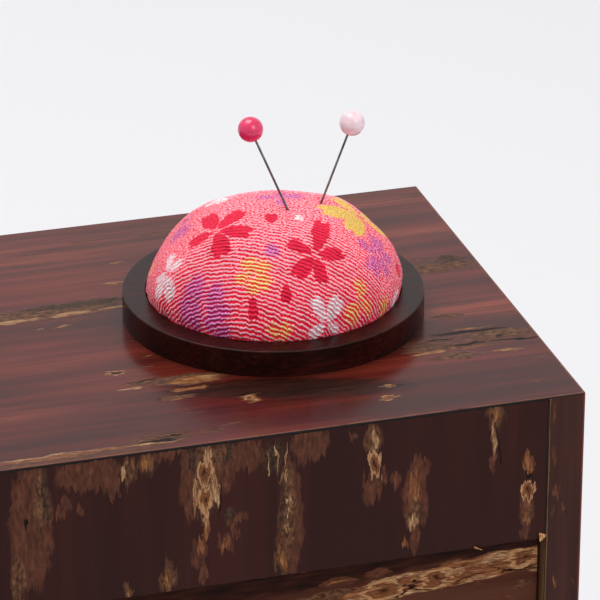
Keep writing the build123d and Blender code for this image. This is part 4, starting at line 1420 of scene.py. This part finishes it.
@dataclass
class Cabinet:
    """The carcass with its bark, its shelves and its felt foot.

    Attributes:
        dresser: What lays the finishes on.
    """

    dresser: Dresser

    RUBBED = (0.15, 0.25)  # mm of the top's rubbed lines inside its front edge and past its right one
    JOINT = 0.05  # mm from a sheet's edge to the middle of the joint beside it

    def build(self) -> None:
        """Dress the carcass, then its bark."""
        self._boards()
        self._bark()
        self.dresser.dress(WoolFelt("wool felt"), "felt_base")

    def _boards(self) -> None:
        """Dress the planed boards."""
        dress = self.dresser.dress
        dress(PlanedWood("planed carcass wood, upright", Lay.SIDE_UPRIGHT),
              "left_side_board", "right_side_board")
        dress(PlanedWood("planed carcass wood, level front", Lay.FRONT_LEVEL),
              "fascia_board", "back_board")
        dress(PlanedWood("planed carcass wood, flat", Lay.TOP),
              "bottom_board", "lower_shelf", "upper_shelf", "well_floor", "fixed_top_board")
        dress(PlanedWood("planed carcass wood, rail", Lay.DEPTHWAYS), "seam_rail")

    def _bark(self) -> None:
        """Dress the sheets of bark that are glued to the carcass."""
        dress = self.dresser.dress
        low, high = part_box("top_bark")
        worn = (
            Arris((("Y", low.y / MM + self.RUBBED[0]),), 0.26, "#73402E", 0.0),
            Arris((("X", high.x / MM + self.RUBBED[1]),), 0.26, "#7C4430", 0.0),
        )
        dress(CherryBark("cherry bark, top", Lay.TOP, TOP_SCARS, worn, scattered=0.07, haze=0.1,
                         ground=POLISHED, specular=0.22, roughness=0.2), "top_bark")
        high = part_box("fascia_bark")[1]
        # Painted shade: near-black lines in the joints, at the panel's right end beside the stile and
        # under the top's edge.
        joint_shade = (
            Arris((("X", high.x / MM + self.JOINT),), 0.3, "#120807", 0.7),
            Arris((("Z", high.z / MM + self.JOINT),), 0.36, "#150A08", 0.5),
        )
        panel = ((0.4, "#2A100C"), (0.5, "#30120E"), (0.6, "#371611"))
        dress(CherryBark("cherry bark, front panel", Lay.FRONT_UPRIGHT, FASCIA_SCARS, joint_shade, scattered=0.0,
                         haze=0.0, ground=panel, specular=0.12, roughness=0.42, shift=11.0), "fascia_bark")
        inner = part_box("right_stile_bark")[0].x / MM
        glue = (Arris((("X", inner + self.JOINT),), 0.26, "#62482F", 0.4),)
        dress(CherryBark("cherry bark, right stile", Lay.FRONT_UPRIGHT, STILE_SCARS, glue, scattered=0.08,
                         haze=0.1, ground=STILE, specular=0.12, roughness=0.4, shift=53.0),
              "right_stile_bark")
        dress(CherryBark("cherry bark, left stile", Lay.FRONT_UPRIGHT, scattered=0.2, ground=STILE,
                         specular=0.12, roughness=0.4, shift=97.0), "left_stile_bark")
        dress(CherryBark("cherry bark, rails", Lay.FRONT_LEVEL, scattered=0.2, ground=STILE,
                         specular=0.12, roughness=0.4, shift=131.0), "rail_bark")
        dress(CherryBark("cherry bark, right side", Lay.SIDE_UPRIGHT, scattered=0.26, haze=0.22,
                         ground=SIDE, roughness=0.32, shift=171.0, cut="#6E3220"), "right_bark")
        dress(CherryBark("cherry bark, left side", Lay.SIDE_UPRIGHT, scattered=0.26, haze=0.22,
                         ground=SIDE, roughness=0.32, shift=233.0, cut="#6E3220"), "left_bark")
        dress(CherryBark("cherry bark, back", Lay.FRONT_LEVEL, scattered=0.26, haze=0.22,
                         ground=SIDE, roughness=0.34, shift=307.0), "back_bark")


@dataclass
class Lid:
    """The lid over the well, with its knob and its two brass hinges.

    Attributes:
        dresser: What lays the finishes on.
    """

    dresser: Dresser

    def build(self) -> None:
        """Dress the lid and its hinges."""
        dress = self.dresser.dress
        low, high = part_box("lid_bark")
        face = ("Z", high.z / MM)
        worn = (
            Arris((("Y", low.y / MM), face), 0.5, "#73402E", 0.1),
            Arris((("X", low.x / MM), face), 0.5, "#73402E", 0.1),
        )
        dress(CherryBark("cherry bark, lid", Lay.TOP, TOP_SCARS, worn, scattered=0.07, haze=0.1,
                         ground=POLISHED, specular=0.22, roughness=0.2, cut=None), "lid_bark")
        dress(PlanedWood("planed lid wood", Lay.TOP), "lid_board")
        low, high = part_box("lid_knob")
        middle = tuple((low + high) / 2 / MM)
        dress(TurnedLacquer("turned and lacquered lid knob", middle), "lid_knob")
        brass = ((0.35, "#8C6B33"), (0.6, "#B8914C"), (0.8, "#C9A562"))
        dress(BrushedMetal("brushed brass", Lay.TOP, brass, 0.3, (5.0, 0.25)), "hinge_leaves_fixed",
              "hinge_leaves_lid", "hinge_screws_fixed", "hinge_screws_lid")
        dress(BrushedMetal("drawn brass pin", Lay.TOP, brass, 0.26, (8.0, 0.2)), "hinge_pins")


@dataclass
class Drawer:
    """One drawer with a bark-veneered front and a turned knob.

    Attributes:
        dresser: What lays the finishes on.
        name: The drawer's name, which its nodes begin with.
        scars: The marks listed one by one for its front.
        shift: How far its chance patterns are moved, in mm.
    """

    dresser: Dresser
    name: str
    scars: tuple[Scar, ...]
    shift: float

    RUBBED = 0.3  # mm from the front's upper and lower edge to the middle of its rubbed line

    def build(self) -> None:
        """Dress the drawer."""
        dress = self.dresser.dress
        ground = ((0.4, "#38180F"), (0.5, "#472418"), (0.6, "#553022"))
        low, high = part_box(f"{self.name}_bark")
        worn = (
            Arris((("Z", high.z / MM - self.RUBBED),), 0.5, "#6B3A1E", 0.3),
            Arris((("Z", low.z / MM + self.RUBBED),), 0.4, "#6B3A1E", 0.2),
        )
        dress(CherryBark(f"cherry bark, {self.name} front", Lay.FRONT_LEVEL, self.scars, worn,
                         scattered=0.14, haze=0.15, ground=ground, specular=0.06, roughness=0.36,
                         shift=self.shift), f"{self.name}_bark")
        pale = ((0.1, "#B9946A"), (0.55, "#A67F55"), (0.9, "#86623F"))
        dress(PlanedWood(f"planed wood, {self.name} front", Lay.FRONT_LEVEL, pale),
              f"{self.name}_front", f"{self.name}_back")
        dress(PlanedWood(f"planed wood, {self.name} sides", Lay.SIDE_LEVEL, pale),
              f"{self.name}_left_side", f"{self.name}_right_side")
        dress(PlanedWood(f"planed wood, {self.name} base", Lay.TOP, pale), f"{self.name}_base")
        low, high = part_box(f"{self.name}_knob")
        middle = tuple((low + high) / 2 / MM)
        dress(TurnedLacquer(f"turned and lacquered {self.name} knob", middle, "Y"), f"{self.name}_knob")


@dataclass
class Pincushion:
    """The turned cup and the crepe pad that is stuffed into it.

    Attributes:
        dresser: What lays the finishes on.
        crown_arc: The radius of the pad's crown in mm.
        voxel: The size of the faces that the cloth is simulated with, in mm.
        give: How far the stuffing may move the cloth, in mm.
        slack: How much the cloth shrinks before it is stuffed, as a share; below zero it stretches.
        pitch: How far apart the crepe's furrows are, in mm.
        depth: Half the depth of a furrow in mm.
        weft: How far the furrows are turned from rightwards, in degrees, before they sway.
        kinks: How the furrows waver: for each wave its size across the furrows and its length along
            and across them, in mm, and its layer of noise.
        dimple: How deep and how wide a pin draws the cloth in, in mm.
        roll: How far the cloth rolls out over the cup's bore, in mm.
        pins: Where the pins go in, in mm from the pad's middle.
        filling: Where the stuffing lies thick or thin. For each place its middle on the cloth, along
            the weft and across it, how far it spreads, and how much it lifts the cloth, in mm.
    """

    dresser: Dresser
    crown_arc: float = 37.9
    voxel: float = 2.2
    give: float = 0.5
    slack: float = -0.05
    pitch: float = 1.05
    depth: float = 0.15
    weft: float = -16.57
    kinks: tuple[tuple[float, float, float, float], ...] = (
        (0.6, 16.0, 16.0, 3.0),
        (0.5, 2.4, 6.0, 17.0),
        (0.3, 1.0, 2.0, 31.0),
    )
    dimple: tuple[float, float] = (0.45, 1.3)
    roll: float = 0.45
    pins: tuple[tuple[float, float], ...] = ((2.8, -2.8), (12.3, 2.0))
    filling: tuple[tuple[float, float, float, float], ...] = (
        (17.0, 14.0, 8.0, 1.5),
        (-31.0, 4.0, 10.0, -1.2),
        (-19.0, 17.0, 8.0, 0.5),
        (30.0, 6.0, 8.0, 0.5),
    )

    # The furrows' course: how much they slant, and how far their bend moves them, where it is and how
    # long it is, in mm along the weft.
    SLANT, BEND = 0.12, (2.4, -2.0, 12.0)
    FLANK = 0.12  # depth of the furrows on the two stretched flanks, as a share of the full depth
    PLEAT, LUMP = 0.35, 0.3  # mm that the rim's small pleats and the stuffing move the cloth

    def build(self) -> None:
        """Dress the cup and the board, then stuff the pad."""
        low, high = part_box("pincushion_cup")
        middle = tuple((low + high) / 2 / MM)
        self.dresser.dress(TurnedLacquer("turned and lacquered cup", middle), "pincushion_cup")
        self.dresser.dress(GreyBoard("grey board"), "pincushion_card")
        pad = self._stuff()
        self._crimp(pad)
        pad.data.materials.clear()
        pad.data.materials.append(PrintedCrepe("printed crepe").material())
        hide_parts("pincushion_pad")
        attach(pad, "cabinet")

    def _stuff(self) -> bpy.types.Object:
        """Make the pad's cloth from its CAD solid, swell it against its stitching and refine it.

        Returns:
            The pad, with its modifiers applied.
        """
        source = self.dresser.nodes["pincushion_pad"]
        pad = bpy.data.objects.new("pincushion_crepe", source.data.copy())
        bpy.context.scene.collection.objects.link(pad)
        remesh = pad.modifiers.new("even faces", "REMESH")
        remesh.mode = "VOXEL"
        remesh.voxel_size = self.voxel * MM
        remesh.use_smooth_shade = True
        self._apply(pad)
        self._swell(pad)
        finer = pad.modifiers.new("finer faces", "SUBSURF")
        finer.levels = 3
        finer.render_levels = 3
        self._apply(pad)
        pad.data.polygons.foreach_set("use_smooth", [True] * len(pad.data.polygons))
        log.info("%s: %d faces", pad.name, len(pad.data.polygons))
        return pad

    def _apply(self, pad: bpy.types.Object) -> None:
        """Turn the pad's modifiers into its mesh.

        Args:
            pad: The pad.
        """
        graph = bpy.context.evaluated_depsgraph_get()
        made = bpy.data.meshes.new_from_object(pad.evaluated_get(graph))
        pad.modifiers.clear()
        pad.data = made

    def _points(self, pad: bpy.types.Object, what: str = "co") -> np.ndarray:
        """Read the pad's vertices.

        Args:
            pad: The pad.
            what: "co" for their places or "normal" for their normals.

        Returns:
            One row of three numbers for each vertex.
        """
        values = np.zeros(3 * len(pad.data.vertices), np.float32)
        pad.data.vertices.foreach_get(what, values)
        return values.reshape(-1, 3).astype(float)

    def _swell(self, pad: bpy.types.Object) -> None:
        """Let the stuffing press the cloth out, held by the cup's rim, by a short cloth simulation.

        Args:
            pad: The pad.
        """
        rest = self._points(pad)
        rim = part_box("pincushion_cup")[1].z
        held_under, held_over = rim - 1.5 * MM, rim + 0.3 * MM  # wholly held, and just free
        held = pad.vertex_groups.new(name="held by the cup")
        for number, place in enumerate(rest):
            weight = min(1.0, max(0.0, (held_over - place[2]) / (held_over - held_under)))
            held.add([number], weight, "REPLACE")

        # A light cloth, stiff along its threads and soft to bend, which only the stuffing presses out.
        cloth = pad.modifiers.new("stuffed cloth", "CLOTH")
        cloth.settings.vertex_group_mass = held.name
        cloth.settings.mass = 0.002
        cloth.settings.tension_stiffness = 12.0
        cloth.settings.compression_stiffness = 12.0
        cloth.settings.bending_stiffness = 0.4
        cloth.settings.use_pressure = True
        cloth.settings.uniform_pressure_force = 600.0
        cloth.settings.shrink_min = self.slack
        cloth.settings.effector_weights.gravity = 0.0
        first, last = 1, 20
        cloth.point_cache.frame_start = first
        cloth.point_cache.frame_end = last
        scene = bpy.context.scene
        for number in range(first, last + 1):
            scene.frame_set(number)
        self._apply(pad)
        scene.frame_set(first)
        moved = self._points(pad) - rest
        length = np.linalg.norm(moved, axis=1, keepdims=True)
        allowed = np.minimum(length, self.give * MM) / np.maximum(length, 1e-9)
        pad.data.vertices.foreach_set("co", (rest + moved * allowed).astype(np.float32).ravel())
        pad.data.update()
        log.info("%s: swelled by up to %.2f mm, kept to %.2f mm", pad.name, length.max() / MM, self.give)

    def _crimp(self, pad: bpy.types.Object) -> None:
        """Press the crepe's furrows, the rim's small pleats and the pins' dimples into the cloth.

        The place on the cloth and the furrows' course go into the point attributes "cloth" and
        "crimp", which the crepe's material reads.

        Args:
            pad: The pad.
        """
        low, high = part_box("pincushion_pad")
        middle = np.array([(low.x + high.x) / 2, (low.y + high.y) / 2, high.z]) / MM
        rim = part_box("pincushion_cup")[1].z / MM
        place = self._points(pad) / MM
        normal = self._points(pad, "normal")
        from_top = place - middle
        radius = np.hypot(from_top[:, 0], from_top[:, 1])
        arc = self.crown_arc * np.arctan2(radius, from_top[:, 2] + self.crown_arc)
        stretch = arc / np.maximum(radius, 1e-6)
        right = from_top[:, 0] * stretch
        back = from_top[:, 1] * stretch

        # The furrows run nearly straight over the flat cloth, with one slow bend near its middle, so
        # they arch down to the rim on both sides.
        turned = math.radians(self.weft)
        lengthwise = right * math.cos(turned) + back * math.sin(turned)
        depthwise = back * math.cos(turned) - right * math.sin(turned)
        moved, bend, over = self.BEND
        course = depthwise + self.SLANT * lengthwise + moved * np.tanh((lengthwise - bend) / over)
        kink = sum(size * self._noise(lengthwise / long, depthwise / wide, layer)
                   for size, long, wide, layer in self.kinks)
        turns = (course + kink) / self.pitch

        # They are deep where the cloth hangs down its front and back, and fade where it is stretched:
        # over the crown, and on the two flanks that the weft runs down.
        relaxed = self._step(arc, 3.0, 22.0)
        least = 0.42 - 0.2 * self._step(arc, 30.0, 46.0)
        faced = self._step(np.abs(depthwise) / np.maximum(arc, 1e-6) - least, 0.0, 0.28)
        above = self._step(place[:, 2], rim - 1.0, rim + 1.5)
        strength = relaxed * (self.FLANK + (1 - self.FLANK) * faced) * above
        strength *= 0.95 + 0.7 * self._noise(right / 2.0, back / 2.0, 47.0)

        # Painted shade: low down on the cloth, and a little on the flanks, more of it takes the furrows'
        # deeper colour.
        low_shade = 0.35 * faced * self._step(arc, 20.0, 42.0)
        low_shade += 0.12 * (1 - faced) * self._step(arc, 8.0, 24.0)

        # Small pleats gather at the rim, under a soft roll that covers the cup's bore.
        around = np.arctan2(from_top[:, 1], from_top[:, 0])
        pleat = self._noise(np.cos(around) * 9, np.sin(around) * 9, 61.0)
        gathered = above * self._step(place[:, 2], rim + 6.5, rim + 1.0)
        rolled = self._step(place[:, 2], rim - 1.6, rim + 0.4)
        rolled *= self._step(place[:, 2], rim + 7.0, rim + 1.5)
        lumps = self._noise(right / 13, back / 13, 83.0)
        out = self.depth * strength * np.sin(2 * math.pi * turns)
        out += self.PLEAT * pleat * gathered + self.LUMP * lumps * above + self.roll * rolled
        for along, across, spread, lift in self.filling:
            away = np.hypot(lengthwise - along, depthwise - across)
            out += lift * np.exp(-((away / spread) ** 2)) * above
        dimple_depth, dimple_reach = self.dimple
        for east, north in self.pins:
            away = np.hypot(from_top[:, 0] - east, from_top[:, 1] - north)
            out -= dimple_depth * np.exp(-((away / dimple_reach) ** 2)) * above
        place += normal * out[:, None]
        pad.data.vertices.foreach_set("co", (place * MM).astype(np.float32).ravel())
        for name, told in (("cloth", (right, back, turns)), ("crimp", (strength, low_shade, above))):
            values = pad.data.attributes.new(name, "FLOAT_VECTOR", "POINT")
            values.data.foreach_set("vector", np.stack(told, axis=1).astype(np.float32).ravel())
        pad.data.update()

    def _step(self, value: np.ndarray, nothing: float, all_of_it: float) -> np.ndarray:
        """Give a soft step from 0, where value is nothing, to 1, where it is all_of_it."""
        share = np.clip((value - nothing) / (all_of_it - nothing), 0.0, 1.0)
        return share * share * (3 - 2 * share)

    def _noise(self, x: np.ndarray, y: np.ndarray, z: float) -> np.ndarray:
        """Give smooth noise from about -1 to 1 at each pair of x and y, on the layer z."""
        return np.array([noise.noise((a, b, z)) for a, b in zip(x, y)])


@dataclass
class DressmakersPin:
    """A steel pin with a pearl-coated head.

    Attributes:
        dresser: What lays the finishes on.
        name: The pin's name, which its nodes begin with.
        stops: The colours of its head.
    """

    dresser: Dresser
    name: str
    stops: Stops

    def build(self) -> None:
        """Dress the pin."""
        steel = ((0.35, "#55504C"), (0.65, "#85807B"))
        dress = self.dresser.dress
        dress(BrushedMetal(f"drawn steel wire, {self.name}", Lay.FRONT_UPRIGHT, steel, 0.3, (3.0, 0.12)),
              f"{self.name}_shaft")
        dress(PearlCoating(f"pearl-coated bead, {self.name}", self.stops), f"{self.name}_head")


@dataclass
class TornBark:
    """The flake and the sliver of inner bark that stand up at the front panel's lower edge.

    Attributes:
        pieces: For each its name, then its root, its tip, its width and how far it curls, in mm.
        thickness: How thick they are in mm.
        taper: How much narrower the tip is than the root, as a share.
        fray: How far the edges waver, as a share of the width.
        cupped: How far the long edges stand out, in mm.
    """

    pieces: tuple[tuple[str, Vector, Vector, float, float], ...] = (
        ("bark_flake", Vector((115.4, -62.55, 150.9)), Vector((114.7, -62.6, 149.15)), 2.0, 0.3),
        ("bark_sliver", Vector((98.7, -62.55, 150.0)), Vector((100.6, -62.6, 149.15)), 0.5, 0.5),
    )
    thickness: float = 0.12
    taper: float = 0.85
    fray: float = 0.12
    cupped: float = 0.1

    def build(self) -> None:
        """Build both pieces."""
        finish = InnerBark("torn inner bark").material()
        for name, root, tip, width, curl in self.pieces:
            piece = self._ribbon(name, root, tip, width, curl)
            piece.data.materials.append(finish)
            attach(piece, "cabinet")

    def _ribbon(self, name: str, root: Vector, tip: Vector, width: float, curl: float) -> bpy.types.Object:
        """Build a frayed piece that narrows and curls away from the panel.

        Args:
            name: Its name.
            root: Where it is still fast, in mm.
            tip: Where it ends, in mm.
            width: Its width at its root, in mm.
            curl: How far its middle stands out, in mm.

        Returns:
            The piece.
        """
        rows, columns = 12, 6
        along = tip - root
        across = along.cross(Vector((0.0, -1.0, 0.0))).normalized()
        corners: list[Vector] = []
        for layer in (0.0, self.thickness):
            for row in range(rows + 1):
                gone = row / rows
                half = 0.5 * width * (1 - self.taper * gone)
                for column in range(columns + 1):
                    side = 2 * column / columns - 1
                    frayed = self.fray * width * noise.noise(Vector((5 * gone, 2 * side, root.x)))
                    curled = curl * math.sin(0.75 * math.pi * gone)
                    out = curled + self.cupped * side * side + layer
                    place = root + along * gone + across * (half * side + frayed)
                    corners.append((place - Vector((0.0, out, 0.0))) * MM)
        wide = columns + 1
        back = (rows + 1) * wide
        faces: list[tuple[int, ...]] = []
        for row in range(rows):
            for column in range(columns):
                first = row * wide + column
                quad = (first, first + 1, first + wide + 1, first + wide)
                faces.append(quad)
                faces.append(tuple(number + back for number in reversed(quad)))
        rim = list(range(wide))
        rim += [row * wide + columns for row in range(1, rows + 1)]
        rim += [rows * wide + column for column in range(columns - 1, -1, -1)]
        rim += [row * wide for row in range(rows - 1, 0, -1)]
        for one, other in zip(rim, rim[1:] + rim[:1]):
            faces.append((other, one, one + back, other + back))
        mesh = bpy.data.meshes.new(name)
        mesh.from_pydata(corners, [], faces)
        mesh.validate()
        piece = bpy.data.objects.new(name, mesh)
        bpy.context.scene.collection.objects.link(piece)
        return piece


@dataclass
class Studio:
    """The pale floor, the soft lights and the camera.

    Attributes:
        target: The point that the camera looks at, in mm.
        distance: The camera's distance from it in mm.
        azimuth: How far the camera stands round to the left, in degrees below zero.
        elevation: How far it looks down, in degrees.
        lens: Its focal length in mm.
        film: The width of its film in mm.
        aim: The point that the softboxes face, in mm.
        ambient: How strongly the walls light the box, where 1 is white.
        floor_side: The side of the paper sweep in mm.
    """

    target: tuple[float, float, float] = (56.75, -62.5, 218.3)
    distance: float = 884.4
    azimuth: float = -16.57
    elevation: float = 24.86
    lens: float = 240.0
    film: float = 36.0
    aim: tuple[float, float, float] = (40.0, 0.0, 190.0)
    ambient: float = 0.62
    floor_side: float = 12000.0

    def build(self) -> None:
        """Lay the floor, hang the lights and set up the camera."""
        self._floor()
        self._world()
        self._softbox("overhead softbox", (-300.0, 500.0, 2100.0), size=1300.0, power=25.0)
        self._softbox("front softbox", (600.0, -1500.0, 1400.0), size=900.0, power=9.5)
        self._camera()

    def _floor(self) -> None:
        """Lay the paper sweep on which the box stands."""
        half = 0.5 * self.floor_side * MM
        mesh = bpy.data.meshes.new("floor")
        corners = [(-half, -half, 0.0), (half, -half, 0.0), (half, half, 0.0), (-half, half, 0.0)]
        mesh.from_pydata(corners, [], [(0, 1, 2, 3)])
        floor = bpy.data.objects.new("floor", mesh)
        bpy.context.scene.collection.objects.link(floor)
        mesh.materials.append(PhotographicPaper("photographic paper").material())

    def _world(self) -> None:
        """Light the studio evenly; the camera and mirrors see the pale backdrop."""
        world = bpy.data.worlds.new("studio")
        world.use_nodes = True
        tree = world.node_tree
        tree.nodes.clear()
        rays = add(tree, "LightPath")
        glossy = add(tree, "Math", {0: rays.outputs["Is Camera Ray"], 1: rays.outputs["Is Glossy Ray"]},
                     operation="MAXIMUM")
        seen = add(tree, "Math", {0: glossy, 1: rays.outputs["Is Transmission Ray"]}, operation="MAXIMUM")
        strength = add(tree, "Math", {0: seen, 1: 1 - self.ambient, 2: self.ambient},
                       operation="MULTIPLY_ADD")
        backdrop = add(tree, "Background", {"Color": "#F0F0F2", "Strength": strength})
        add(tree, "OutputWorld", {"Surface": backdrop})
        bpy.context.scene.world = world

    def _softbox(self, name: str, place: tuple[float, float, float], size: float, power: float) -> None:
        """Hang one square softbox, facing the box.

        Args:
            name: Its name.
            place: Where it hangs, in mm.
            size: Its side in mm.
            power: Its power in watts.
        """
        light = bpy.data.lights.new(name, "AREA")
        light.size = size * MM
        light.energy = power
        lamp = bpy.data.objects.new(name, light)
        lamp.location = Vector(place) * MM
        aim = Vector(self.aim) * MM - lamp.location
        lamp.rotation_euler = aim.to_track_quat("-Z", "Y").to_euler()
        bpy.context.scene.collection.objects.link(lamp)

    def _camera(self) -> None:
        """Set the camera where the photograph was taken from."""
        lens = bpy.data.cameras.new("camera")
        lens.lens = self.lens
        lens.sensor_width = self.film
        lens.clip_start, lens.clip_end = 0.05, 30.0  # metres
        camera = bpy.data.objects.new("camera", lens)
        turn = math.radians(self.azimuth)
        tilt = math.radians(self.elevation)
        back = Vector((math.sin(turn) * math.cos(tilt), -math.cos(turn) * math.cos(tilt), math.sin(tilt)))
        camera.location = (Vector(self.target) + self.distance * back) * MM
        camera.rotation_euler = (-back).to_track_quat("-Z", "Y").to_euler()
        bpy.context.scene.collection.objects.link(camera)
        bpy.context.scene.camera = camera


def main() -> None:
    """Build the box's sub-assemblies and the studio."""
    logging.basicConfig(level=logging.INFO, format="%(name)s: %(message)s")
    bpy.context.scene.view_settings.view_transform = "Standard"
    dresser = Dresser(frame["nodes"])
    magenta = ((0.3, "#D8084E"), (0.7, "#F82670"))
    pearl = ((0.3, "#EBC3CE"), (0.7, "#FBE3E8"))
    pieces = (
        Cabinet(dresser),
        Lid(dresser),
        TornBark(),
        Drawer(dresser, "top_drawer", TOP_DRAWER_SCARS, 19.0),
        Drawer(dresser, "middle_drawer", (), 401.0),
        Drawer(dresser, "bottom_drawer", (), 877.0),
        Pincushion(dresser),
        DressmakersPin(dresser, "magenta_pin", magenta),
        DressmakersPin(dresser, "pearl_pin", pearl),
        Studio(),
    )
    for piece in pieces:
        piece.build()
        log.info("%s is done", type(piece).__name__)


if __name__ == "__main__":
    main()
